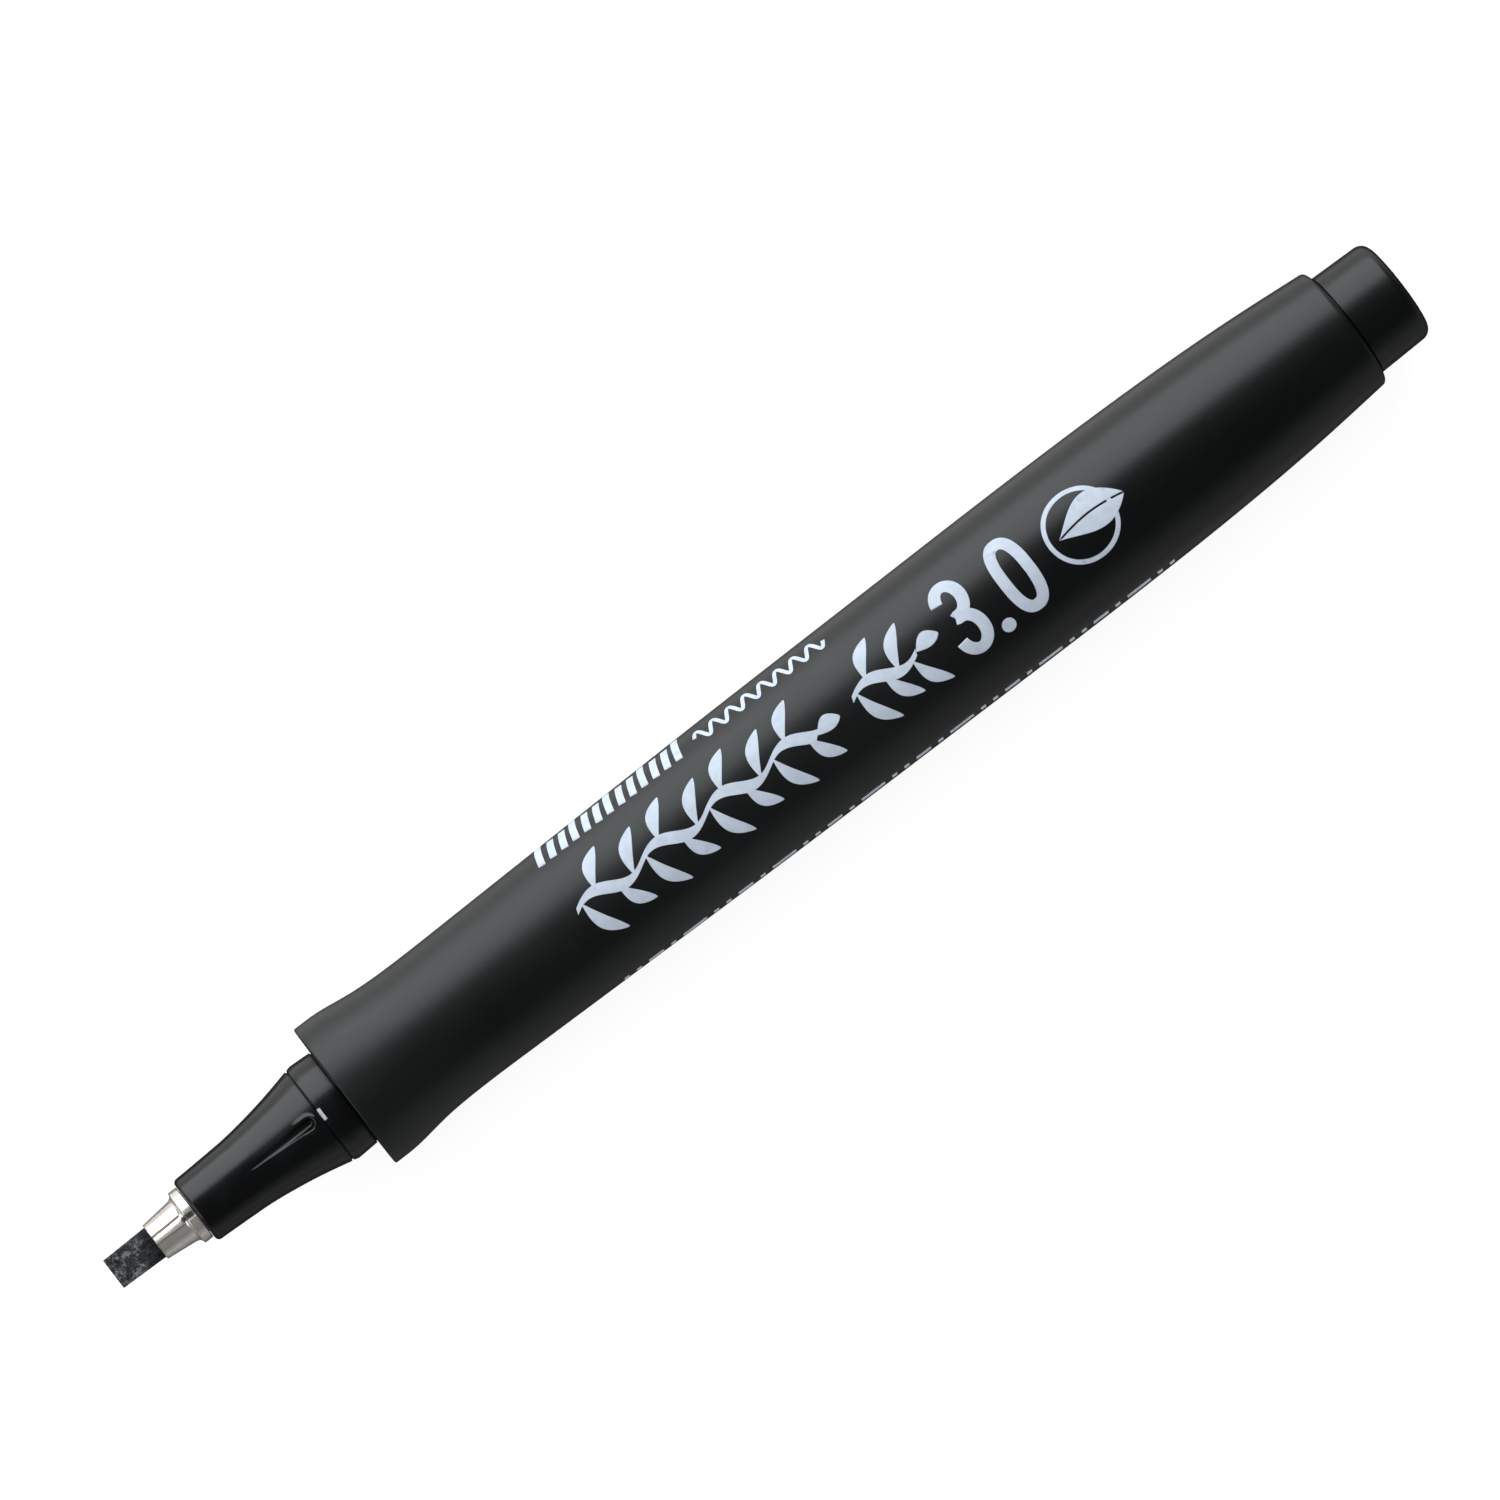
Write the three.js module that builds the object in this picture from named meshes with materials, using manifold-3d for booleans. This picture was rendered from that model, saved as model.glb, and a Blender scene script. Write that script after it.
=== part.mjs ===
// A calligraphy marker with its cap off, lying on its side: millimetres, +Z up.
//
// The pen's axis runs along X, with the nib towards -X and the end plug towards +X. The origin lies on
// the surface that the marker rests on, below the middle of its length.
//
// Every round piece is a lathe about its own Y axis, built in a group that stands along Y. The last
// lines lay that group down along X. "Station" means a distance along the pen's axis, measured
// backwards from the piece's own front end.
import * as THREE from "three";
import { mergeVertices } from "three/addons/utils/BufferGeometryUtils.js";
import Module from "manifold-3d";

// ---- Driving dimensions ------------------------------------------------------------------------

const FLATS = 24; // flats round each lathed piece; the marker lies on one of them
const LENGTH = 133; // nib edge to end plug face

// Stations of the pieces' front ends, from the nib's edge.
const FERRULE_AT = 4.3;
const HOLDER_AT = 8.4;
const WICK_AT = 15.2;
const BARREL_AT = 23.8;
const RESERVOIR_AT = 34.5;

const SEAM = 0.12; // gap that shows as a fine dark line where two shells meet
const SLIP = 0.06; // radial clearance of a spigot in its socket

const BARREL_LENGTH = 103.7;
const BARREL_RADIUS = 6.88; // of the front rim and of the belly, on which the marker lies
const RIM_EDGE = 0.25;
const TAIL_CORNER = { along: 0.5, across: 0.7 };
const FRONT_SOCKET = { radius: 4.52, depth: 11.2, lip: 0.34 };
const TAIL_SOCKET = { radius: 4.7, depth: 14.6 };
const CHAMBER_RADIUS = 4.62;
const RIBS = { count: 6, reach: 4.25, width: 0.8 };

const COLLAR_RADIUS = 4.6; // the cap's mouth slides over this
const HOLDER_FRONT = BARREL_AT - HOLDER_AT; // the holder's length in front of the barrel
const HOLDER_SPIGOT = 10.4;
const FERRULE_BORE = { radius: 2.05, depth: 9.9 };
const WICK_BORE = { radius: 1.55, depth: 1.2 };
const AIR_CHAMBER_RADIUS = 2.9;
const VENT_SLOT = { width: 1.15, floor: 3.38, end: 12.3, length: 8 };
const MOUTH_NOTCH = { width: 0.5, height: 0.5, depth: 0.6 };

const FERRULE = {
  mouth: 1.715,
  mouthShare: 0.85, // height over width at the mouth
  root: 1.985,
  cone: 2.55,
  ring: 2.54,
  ringStart: 3.2,
  ringEnd: 4,
};
const FERRULE_TUBE = { radius: 1.98, wall: 0.33, end: 13.8 };
const NIB = { width: 3, thickness: 2, edge: 0.6, bevel: 3.5, taper: 0.06, length: 14.9, tailRadius: 1.5 };
const SQUARENESS = 3.2; // superellipse power of the nib's rounded, nearly rectangular section
const WICK = { radius: 1.4, length: 27.8, point: 1 };

const RESERVOIR = { length: 78.4, radius: 4.15, film: 0.15, gap: 0.05 };
const WICK_POCKET = { radius: 1.55, depth: 9.4 };

const PLUG = { base: 4.83, top: 4.7, corner: 1.05, wall: 1.1, spigot: 14.3 };

// ---- Geometry helpers --------------------------------------------------------------------------

const wasm = await Module();
wasm.setup();

function toSolid(geometry) {
  const bare = geometry.index ? geometry.toNonIndexed() : geometry.clone();
  bare.deleteAttribute("normal");
  bare.deleteAttribute("uv");
  const merged = mergeVertices(bare, 1e-4);
  return new wasm.Manifold(
    new wasm.Mesh({
      numProp: 3,
      vertProperties: merged.attributes.position.array,
      triVerts: new Uint32Array(merged.index.array),
    }),
  );
}

function toGeometry(solid) {
  const { vertProperties, triVerts } = solid.getMesh();
  return new THREE.BufferGeometry()
    .setAttribute("position", new THREE.BufferAttribute(vertProperties, 3))
    .setIndex(new THREE.BufferAttribute(triVerts, 1));
}

// The first geometry with each of the others cut away.
function cut(geometry, cutters) {
  return toGeometry(cutters.reduce((solid, c) => solid.subtract(toSolid(c)), toSolid(geometry)));
}

// A closed outline of [station, radius] turned about the Y axis, outside first and then back inside.
function turned(outline, flats = FLATS) {
  const points = outline.map(([station, radius]) => new THREE.Vector2(radius, station));
  const closed = outline[0][1] === 0 ? points : [...points, points[0]];
  return new THREE.LatheGeometry(closed, flats, Math.PI / flats);
}

// A smooth outline through a few [station, radius] points, sampled into spans.
function flowing(stations, spans) {
  const curve = new THREE.CatmullRomCurve3(stations.map(([s, r]) => new THREE.Vector3(s, r, 0)));
  return curve.getPoints(spans).map((p) => [p.x, p.y]);
}

// A quarter ellipse from one [station, radius] to another, leaving the first one along the axis.
function roundedCorner([s0, r0], [s1, r1], steps = 4) {
  return Array.from({ length: steps + 1 }, (_, i) => {
    const turn = (i / steps) * (Math.PI / 2);
    return [s0 + (s1 - s0) * Math.sin(turn), r1 + (r0 - r1) * Math.cos(turn)];
  });
}

// Moves a turned piece's vertices from circles onto superellipses. sectionAt(station) gives the
// section's power (2 is round) and its thickness across Z as a share of its width across X.
function flattened(geometry, sectionAt) {
  const places = geometry.attributes.position;
  for (let i = 0; i < places.count; i++) {
    const [x, y, z] = [places.getX(i), places.getY(i), places.getZ(i)];
    const radius = Math.hypot(x, z);
    if (radius === 0) continue;
    const { power, share } = sectionAt(y);
    const reach = (Math.abs(x / radius) ** power + Math.abs(z / radius) ** power) ** (-1 / power);
    places.setXYZ(i, x * reach, y, z * reach * share);
  }
  return geometry;
}

function block(width, length, height) {
  return new THREE.BoxGeometry(width, length, height);
}

function plastic(color, roughness) {
  return new THREE.MeshStandardMaterial({ color, roughness, metalness: 0 });
}

function piece(name, geometry, material, station) {
  const mesh = new THREE.Mesh(geometry, material);
  mesh.name = name;
  mesh.position.y = station;
  return mesh;
}

// ---- Barrel ------------------------------------------------------------------------------------

// The outside flares at the front rim, narrows to a waist for the fingers, swells to a long belly and
// closes in towards the tail.
function barrelOutside() {
  const tail = BARREL_LENGTH - TAIL_CORNER.along;
  const tailRadius = 5.68;
  return [
    [0, BARREL_RADIUS - RIM_EDGE],
    ...flowing(
      [
        [RIM_EDGE, BARREL_RADIUS],
        [2, 6.86],
        [5.2, 6.47],
        [9, 6.26],
        [15, 6.31],
        [24, 6.46],
        [40, 6.7],
        [60, 6.84],
        [78, BARREL_RADIUS],
        [88, 6.69],
        [96, 6.29],
        [tail, tailRadius],
      ],
      33,
    ),
    ...roundedCorner([tail, tailRadius], [BARREL_LENGTH, tailRadius - TAIL_CORNER.across]).slice(1),
  ];
}

// The bore steps outwards towards the tail, so that one core pin can be drawn from it, and opens at
// the front in a chamfered lip.
function barrelBore() {
  const step = 0.3;
  const tail = BARREL_LENGTH - TAIL_SOCKET.depth;
  return [
    [BARREL_LENGTH, TAIL_SOCKET.radius],
    [tail, TAIL_SOCKET.radius],
    [tail - step, CHAMBER_RADIUS],
    [FRONT_SOCKET.depth + step, CHAMBER_RADIUS],
    [FRONT_SOCKET.depth, FRONT_SOCKET.radius],
    [FRONT_SOCKET.lip, FRONT_SOCKET.radius],
    [0, FRONT_SOCKET.radius + FRONT_SOCKET.lip],
  ];
}

// Ribs stand off the chamber's wall, hold the reservoir centred and leave air paths between them.
function barrel() {
  const rootDepth = 0.3;
  const setBack = 0.8;
  const start = FRONT_SOCKET.depth + setBack;
  const end = BARREL_LENGTH - TAIL_SOCKET.depth - setBack;
  const ribHeight = CHAMBER_RADIUS + rootDepth - RIBS.reach;
  let solid = toSolid(turned([...barrelOutside(), ...barrelBore()]));
  for (let i = 0; i < RIBS.count; i++) {
    const rib = block(RIBS.width, end - start, ribHeight)
      .translate(0, (start + end) / 2, RIBS.reach + ribHeight / 2)
      .rotateY(((i + 0.5) / RIBS.count) * 2 * Math.PI);
    solid = solid.add(toSolid(rib));
  }
  return toGeometry(solid);
}

// ---- End plug ----------------------------------------------------------------------------------

// A cup: the closed end stands out of the barrel for the cap to be posted on, and the skirt is a
// press fit with two snap rings and four air slots.
function endPlug() {
  const stub = LENGTH - BARREL_AT - BARREL_LENGTH - SEAM;
  const length = PLUG.spigot + stub;
  const skirt = TAIL_SOCKET.radius - 2 * SLIP;
  const snapRing = TAIL_SOCKET.radius - SLIP;
  const inside = skirt - PLUG.wall;
  const leadIn = 0.5;
  const rings = [3.2, 10.4].flatMap((at) => [
    [at, skirt],
    [at + 0.3, snapRing],
    [at + 0.7, snapRing],
    [at + 1, skirt],
  ]);
  const cup = turned([
    [0, inside],
    [0, skirt - leadIn],
    [leadIn, skirt],
    ...rings,
    [PLUG.spigot, skirt],
    [PLUG.spigot, PLUG.base],
    ...roundedCorner([length - PLUG.corner, PLUG.top], [length, PLUG.top - PLUG.corner]),
    [length, 0],
    [length - PLUG.corner - PLUG.wall, 0],
    [length - PLUG.corner - PLUG.wall, inside],
  ]);
  const slotLength = 5;
  const slot = () => block(1, slotLength * 2, 3 * skirt);
  return cut(cup, [slot(), slot().rotateY(Math.PI / 2)]);
}

// ---- Nib holder --------------------------------------------------------------------------------

function holderOutside() {
  const front = { radius: 3.08, corner: 0.4 };
  const coneEnd = 12.7;
  const bead = COLLAR_RADIUS + 0.11;
  const spigot = FRONT_SOCKET.radius - SLIP;
  const end = HOLDER_FRONT + HOLDER_SPIGOT;
  return [
    ...roundedCorner([front.corner, front.radius], [0, front.radius - front.corner]).reverse(),
    ...flowing(
      [
        [front.corner, front.radius],
        [2.5, 3.15],
        [5, 3.27],
        [7.4, 3.54],
        [9.9, 3.95],
        [coneEnd, 4.56],
      ],
      12,
    ).slice(1),
    [coneEnd + 0.05, 4.46],
    [coneEnd + 0.2, 4.46],
    [coneEnd + 0.25, COLLAR_RADIUS],
    [coneEnd + 0.5, bead],
    [coneEnd + 0.8, bead],
    [coneEnd + 1.05, COLLAR_RADIUS],
    [HOLDER_FRONT - SEAM, COLLAR_RADIUS],
    [HOLDER_FRONT - SEAM, spigot],
    [end - 0.8, spigot],
    [end, spigot - 0.3],
  ];
}

// Behind the ferrule's bore an inner ring guides the wick, and the wide air chamber follows.
function holderInside() {
  const ring = FERRULE_BORE.depth + WICK_BORE.depth;
  return [
    [HOLDER_FRONT + HOLDER_SPIGOT, AIR_CHAMBER_RADIUS],
    [ring, AIR_CHAMBER_RADIUS],
    [ring, WICK_BORE.radius],
    [FERRULE_BORE.depth, WICK_BORE.radius],
    [FERRULE_BORE.depth, FERRULE_BORE.radius],
    [0, FERRULE_BORE.radius],
  ];
}

// The slot's floor lies level along the axis while the cone narrows, so the slot runs out of depth
// towards the nib. Its rear end is round.
function ventSlot() {
  const height = 3;
  const half = VENT_SLOT.width / 2;
  const outline = new THREE.Shape()
    .moveTo(-half, VENT_SLOT.end - VENT_SLOT.length)
    .lineTo(half, VENT_SLOT.end - VENT_SLOT.length)
    .lineTo(half, VENT_SLOT.end - half)
    .absarc(0, VENT_SLOT.end - half, half, 0, Math.PI);
  return new THREE.ExtrudeGeometry(outline, { depth: height, bevelEnabled: false, curveSegments: 8 })
    .translate(0, 0, VENT_SLOT.floor);
}

function mouthNotch() {
  return block(MOUTH_NOTCH.width, MOUTH_NOTCH.depth * 2, MOUTH_NOTCH.height * 2)
    .translate(0, 0, FERRULE_BORE.radius);
}

// The slot and the mouth's air notch are repeated on the opposite side.
function nibHolder() {
  const oneSide = [ventSlot(), mouthNotch()];
  const otherSide = oneSide.map((cutter) => cutter.clone().rotateY(Math.PI));
  return cut(turned([...holderOutside(), ...holderInside()]), [...oneSide, ...otherSide]);
}

// ---- Ferrule, nib and wick ---------------------------------------------------------------------

// Sections start as the nib's, or as a fuller oval, and are round by the end of the ferrule's cone.
function drawnRound(station, power = SQUARENESS, share = NIB.thickness / NIB.width) {
  const round = THREE.MathUtils.smoothstep(station, 0, FERRULE.cone);
  return {
    power: THREE.MathUtils.lerp(power, 2, round),
    share: THREE.MathUtils.lerp(share, 1, round),
  };
}

function nibFerrule() {
  const { mouth, mouthShare, root, cone, ring, ringStart, ringEnd } = FERRULE;
  const { radius, wall, end } = FERRULE_TUBE;
  const nibBore = NIB.width / 2 + SLIP;
  const edge = 0.1;
  const steps = [0, 0.25, 0.5, 0.75, 1];
  const outside = turned([
    [0, 0],
    ...steps.map((t) => [t * cone, THREE.MathUtils.lerp(mouth, root, t)]),
    ...roundedCorner([cone, root], [ringStart, ring - edge]).slice(1),
    [ringStart + edge, ring],
    [ringEnd - edge, ring],
    [ringEnd, ring - edge],
    [ringEnd, radius],
    [end, radius],
    [end, 0],
  ]);
  const inside = turned([
    [-1, 0],
    [-1, nibBore],
    ...steps.map((t) => [t * cone, nibBore]),
    [cone + 0.5, radius - wall],
    [end + 1, radius - wall],
    [end + 1, 0],
  ]);
  flattened(outside, (station) => drawnRound(station, 2, mouthShare));
  return cut(outside, [flattened(inside, (station) => drawnRound(station))]);
}

// A rounded, nearly rectangular rod with a chisel cut on both faces and a round tail.
function nib() {
  const { width, thickness, edge, bevel, taper, length, tailRadius } = NIB;
  const steps = [0, 0.25, 0.5, 0.75, 1];
  const tailEdge = 0.3;
  const rod = turned([
    [0, 0],
    ...steps.map((t) => [t * FERRULE_AT, (1 - taper * (1 - t)) * (width / 2)]),
    ...steps.slice(1).map((t) => [FERRULE_AT + t * FERRULE.cone, tailRadius]),
    [length - tailEdge, tailRadius],
    [length, tailRadius - tailEdge],
    [length, 0],
  ]);
  flattened(rod, (station) => drawnRound(station - FERRULE_AT));
  const slope = Math.atan2((thickness - edge) / 2, bevel);
  const chisel = block(2 * width, 4 * bevel, width)
    .translate(0, 0, width / 2)
    .rotateX(slope)
    .translate(0, 0, edge / 2);
  return cut(rod, [chisel, chisel.clone().rotateY(Math.PI)]);
}

function feedWick() {
  const { radius, length, point } = WICK;
  const flats = 16;
  const outline = [
    [0, 0],
    [0, radius],
    [length - point, radius],
    [length, radius - point],
    [length, 0],
  ];
  return turned(outline, flats);
}

// ---- Ink reservoir -----------------------------------------------------------------------------

function reservoirCore() {
  const radius = RESERVOIR.radius - RESERVOIR.film - RESERVOIR.gap;
  const length = RESERVOIR.length - 0.4;
  return turned([
    [0, WICK_POCKET.radius],
    [0, radius],
    [length, radius],
    [length, 0],
    [WICK_POCKET.depth, 0],
    [WICK_POCKET.depth - WICK.point, WICK_POCKET.radius],
  ]);
}

function reservoirFilm() {
  return turned([
    [0, RESERVOIR.radius - RESERVOIR.film],
    [0, RESERVOIR.radius],
    [RESERVOIR.length, RESERVOIR.radius],
    [RESERVOIR.length, RESERVOIR.radius - RESERVOIR.film],
  ]);
}

// ---- The marker --------------------------------------------------------------------------------

const mattBlack = plastic(0x1b1d1e, 0.62);
const plugBlack = plastic(0x1c1e1f, 0.58);
const glossBlack = plastic(0x0d0f0f, 0.2);
const nickel = new THREE.MeshStandardMaterial({ color: 0xcfc8c2, roughness: 0.22, metalness: 1 });
const inkedFibre = plastic(0x1a1c1e, 0.9);
const wickFibre = plastic(0x232329, 0.95);
const reservoirFibre = plastic(0x1e1e26, 0.95);
const clearFilm = plastic(0xd8dcdf, 0.25);

// What pulls out of the front in one piece: the holder with its ferrule, nib and wick.
const nibUnit = new THREE.Group();
nibUnit.add(
  piece("nib", nib(), inkedFibre, 0),
  piece("nib_ferrule", nibFerrule(), nickel, FERRULE_AT),
  piece("nib_holder", nibHolder(), glossBlack, HOLDER_AT),
  piece("feed_wick", feedWick(), wickFibre, WICK_AT),
);

const inkReservoir = new THREE.Group();
inkReservoir.position.y = RESERVOIR_AT;
inkReservoir.add(
  piece("reservoir_core", reservoirCore(), reservoirFibre, 0.2),
  piece("reservoir_film", reservoirFilm(), clearFilm, 0),
);

const marker = new THREE.Group();
marker.add(
  nibUnit,
  inkReservoir,
  piece("barrel", barrel(), mattBlack, BARREL_AT),
  piece("end_plug", endPlug(), plugBlack, BARREL_AT + BARREL_LENGTH + SEAM - PLUG.spigot),
);

// Laid down: Y turns to X, and the lowest flat of the barrel's widest place rests at Z = 0.
const widest = Math.max(...barrelOutside().map(([, radius]) => radius));
marker.rotation.z = -Math.PI / 2;
marker.position.set(-LENGTH / 2, 0, widest * Math.cos(Math.PI / FLATS));

const part = new THREE.Group();
part.add(marker);

export default part;
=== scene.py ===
"""A calligraphy marker with a chisel nib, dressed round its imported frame.

The marker lies along X with its nib towards -X and a face of the nib on top. Outlines are given in
millimetres: a station is a distance behind a piece's own front end, and a radius is from the
marker's axis. Angles round the axis are counted from straight up towards +Y.
"""

import math

import bpy
import numpy as np
from bpy.props import FloatProperty, FloatVectorProperty, IntProperty, PointerProperty
from mathutils import Euler, Matrix, Vector


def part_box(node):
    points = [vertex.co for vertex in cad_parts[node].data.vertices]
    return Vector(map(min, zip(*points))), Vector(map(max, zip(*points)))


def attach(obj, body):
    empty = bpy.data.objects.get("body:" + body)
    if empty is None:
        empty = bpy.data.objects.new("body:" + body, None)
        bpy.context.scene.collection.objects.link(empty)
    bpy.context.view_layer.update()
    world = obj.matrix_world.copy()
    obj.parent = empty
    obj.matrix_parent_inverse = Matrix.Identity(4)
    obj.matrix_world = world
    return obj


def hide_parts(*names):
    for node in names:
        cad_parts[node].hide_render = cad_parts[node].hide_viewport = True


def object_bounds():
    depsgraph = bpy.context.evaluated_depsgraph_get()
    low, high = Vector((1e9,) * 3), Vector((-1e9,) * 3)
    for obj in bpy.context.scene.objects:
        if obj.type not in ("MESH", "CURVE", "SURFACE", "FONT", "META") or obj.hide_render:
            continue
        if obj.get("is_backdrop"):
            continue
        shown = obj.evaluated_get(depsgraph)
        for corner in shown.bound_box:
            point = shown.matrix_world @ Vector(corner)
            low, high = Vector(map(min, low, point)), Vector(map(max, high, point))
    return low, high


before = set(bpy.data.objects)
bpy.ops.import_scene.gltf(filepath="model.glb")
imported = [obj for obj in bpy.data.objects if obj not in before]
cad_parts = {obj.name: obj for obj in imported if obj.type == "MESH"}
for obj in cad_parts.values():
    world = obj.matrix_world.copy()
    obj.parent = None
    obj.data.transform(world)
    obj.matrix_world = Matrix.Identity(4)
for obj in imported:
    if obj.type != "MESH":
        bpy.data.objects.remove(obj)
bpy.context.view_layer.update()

bl_info = {
    "name": "Calligraphy Marker",
    "version": (1, 0, 0),
    "blender": (4, 5, 0),
    "location": "View3D > Sidebar > Marker",
    "description": "Builds a chisel-nibbed calligraphy marker on its packed frame",
    "category": "Add Mesh",
}

MM = 0.001
BARREL_LOW, BARREL_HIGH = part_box("barrel")
AXIS = (BARREL_LOW.z + BARREL_HIGH.z) / 2  # height of the marker's axis
TURN = 2 * math.pi


def front(node):
    """Where a node's own front end is along X."""
    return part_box(node)[0].x


# ---- Outlines ----------------------------------------------------------------------------------


def spline(stations, radii, at):
    """Natural cubic spline through the points (station, radius), read at some stations.

    The second derivatives m solve one tridiagonal system, with m = 0 at both ends. Between two
    points the radius is the straight line's, less m's pull towards the middle of the span.
    """
    x, y = np.array(stations, float), np.array(radii, float)
    h = np.diff(x)
    system = np.eye(len(x))
    pull = np.zeros(len(x))
    inner = np.arange(1, len(x) - 1)
    system[inner, inner - 1] = h[:-1]
    system[inner, inner] = 2 * (h[:-1] + h[1:])
    system[inner, inner + 1] = h[1:]
    pull[inner] = 6 * np.diff(np.diff(y) / h)
    m = np.linalg.solve(system, pull)
    i = np.clip(np.searchsorted(x, at) - 1, 0, len(h) - 1)
    a, b = (x[i + 1] - at) / h[i], (at - x[i]) / h[i]
    bend = (a**3 - a) * m[i] + (b**3 - b) * m[i + 1]
    return a * y[i] + b * y[i + 1] + bend * h[i] ** 2 / 6


def flank(points, spacing):
    """A smooth stretch of outline through a few points, with one about every spacing."""
    stations, radii = np.array(points, float).T
    at = np.linspace(stations[0], stations[-1], 1 + round((stations[-1] - stations[0]) / spacing))
    return np.column_stack([at, spline(stations, radii, at)])


def outline(*pieces, closed=True, spacing=1.5):
    """An array of points from corners (station, radius, fillet) and smooth stretches between them.

    Each corner becomes an arc tangent to both of its sides. A long straight run gets points whose
    distances shrink towards its ends, so that shading stays flat up to the fillets.
    """
    rows = [np.atleast_2d(np.array(p, float)) for p in pieces]
    rows = [r if r.shape[1] == 3 else np.column_stack([r, np.zeros(len(r))]) for r in rows]
    corners = np.concatenate(rows)
    count = len(corners)
    arcs = []
    for i, (*p, fillet) in enumerate(corners):
        p = np.array(p)
        inner = closed or 0 < i < count - 1
        before, after = corners[i - 1, :2], corners[(i + 1) % count, :2]
        arcs.append(corner_arc(before, p, after, fillet if inner else 0))
    points = []
    for i, arc in enumerate(arcs):
        points.append(arc)
        if closed or i < count - 1:
            start, end = arc[-1], arcs[(i + 1) % count][0]
            run = np.hypot(*(end - start))
            steps = math.ceil(run / spacing)
            if run > spacing / 2:
                share = (1 - np.cos(np.linspace(0, math.pi, steps + 4))[1:-1, None]) / 2
                points.append(start + (end - start) * share)
    return np.concatenate(points)


def corner_arc(before, p, after, fillet, steps=6):
    """The arc of radius fillet that rounds the corner at p, turning from one side to the other."""
    a, b = (before - p), (after - p)
    a, b = a / max(np.hypot(*a), 1e-9), b / max(np.hypot(*b), 1e-9)
    half = math.acos(np.clip(a @ b, -1, 1)) / 2
    if fillet == 0 or half > 1.5:
        return p[None]
    centre = p + (a + b) / np.hypot(*(a + b)) * fillet / math.sin(half)
    v0 = p + a * fillet / math.tan(half) - centre
    v1 = p + b * fillet / math.tan(half) - centre
    sweep = math.pi - 2 * half
    u = np.linspace(0, sweep, steps + 1)[:, None]
    return centre + (np.sin(sweep - u) * v0 + np.sin(u) * v1) / math.sin(sweep)


def angle_from(angles, centre):
    """How far angles are from a centre, the short way round, in radians."""
    return np.abs((angles - centre + math.pi) % TURN - math.pi)


def around(count, *finer):
    """Angles once round the axis, and more in each finer window (centre, half width, count)."""
    angles = [np.arange(count) * TURN / count]
    for centre, half, extra in finer:
        kept = [angle_from(a, centre) > half for a in angles]
        angles = [a[k] for a, k in zip(angles, kept)]
        angles.append((centre + np.linspace(-half, half, extra)) % TURN)
    return np.sort(np.concatenate(angles))


def ease(t):
    """Smooth step: 0 below 0, 1 above 1, and 3t^2 - 2t^3 between."""
    t = np.clip(t, 0, 1)
    return t * t * (3 - 2 * t)


# ---- Surfaces ----------------------------------------------------------------------------------


def lathe(points, angles):
    """An outline turned about the axis, as stations, sideways and upward offsets."""
    x, r = points.T
    flat = np.zeros(len(angles))
    return np.stack(
        [x[:, None] + flat, r[:, None] * np.sin(angles), r[:, None] * np.cos(angles)], axis=-1
    )


def placed(grid, start):
    """A grid of millimetres about the axis, put in the frame with its station 0 at X = start."""
    return grid * MM + np.array([start, 0, AXIS])


def grid_faces(rows, columns, poles):
    """Vertex numbers of a grid's quads and triangles. Columns close round on themselves."""
    if poles:
        body = 1 + np.arange((rows - 2) * columns).reshape(rows - 2, columns)
    else:
        body = np.arange(rows * columns).reshape(rows, columns)
        body = np.vstack([body, body[:1]])
    turned = np.roll(body, -1, axis=1)
    quads = np.stack([body[:-1], turned[:-1], turned[1:], body[1:]], axis=-1).reshape(-1, 4)
    if not poles:
        return quads.tolist()
    near = np.stack([np.zeros(columns, int), turned[0], body[0]], axis=-1)
    far = np.stack([np.full(columns, body[-1, -1] + 1), body[-1], turned[-1]], axis=-1)
    return quads.tolist() + near.tolist() + far.tolist()


def outward(points, faces):
    """The faces, turned round if they enclose a negative volume, the sum of a . (b x c) / 6."""
    corners = np.array([f[:3] for f in faces] + [[f[0], f[2], f[3]] for f in faces if len(f) == 4])
    a, b, c = (points[corners[:, k]] for k in range(3))
    volume = np.einsum("ij,ij->i", a, np.cross(b, c)).sum()
    return [f[::-1] for f in faces] if volume < 0 else faces


def linked(name, data):
    """A new object in the scene."""
    thing = bpy.data.objects.new(name, data)
    bpy.context.scene.collection.objects.link(thing)
    return thing


def mesh_object(name, points, faces):
    """A new mesh object from its points and its faces' vertex numbers."""
    mesh = bpy.data.meshes.new(name)
    mesh.from_pydata(points, [], faces)
    return linked(name, mesh)


def skin(name, grids, poles):
    """One smooth mesh object from closed grids (rows, columns, 3).

    A grid's rows lead back to its first one, or with poles its first and last rows are each one
    point.
    """
    points, faces = [], []
    for grid in grids:
        rows, columns = grid.shape[:2]
        if poles:
            own = np.concatenate([grid[0, :1], grid[1:-1].reshape(-1, 3), grid[-1, :1]])
        else:
            own = grid.reshape(-1, 3)
        if not np.isfinite(own).all():
            raise ValueError(name + " has a point whose place isn't a number")
        first = sum(map(len, points))
        turned = outward(own - own.mean(axis=0), grid_faces(rows, columns, poles))
        faces += [[v + first for v in face] for face in turned]
        points.append(own)
    piece = mesh_object(name, np.concatenate(points).tolist(), faces)
    polygons = piece.data.polygons
    polygons.foreach_set("use_smooth", np.ones(len(polygons), bool))
    piece.data.update()
    return piece


def finished(piece, body, slot, material, *nodes):
    """Gives a piece its material, ties it to its body and hides the nodes it stands for; slot is
    not used.
    """
    piece.data.materials.append(material)
    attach(piece, body)
    if nodes:
        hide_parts(*nodes)


# ---- Materials ---------------------------------------------------------------------------------


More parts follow.
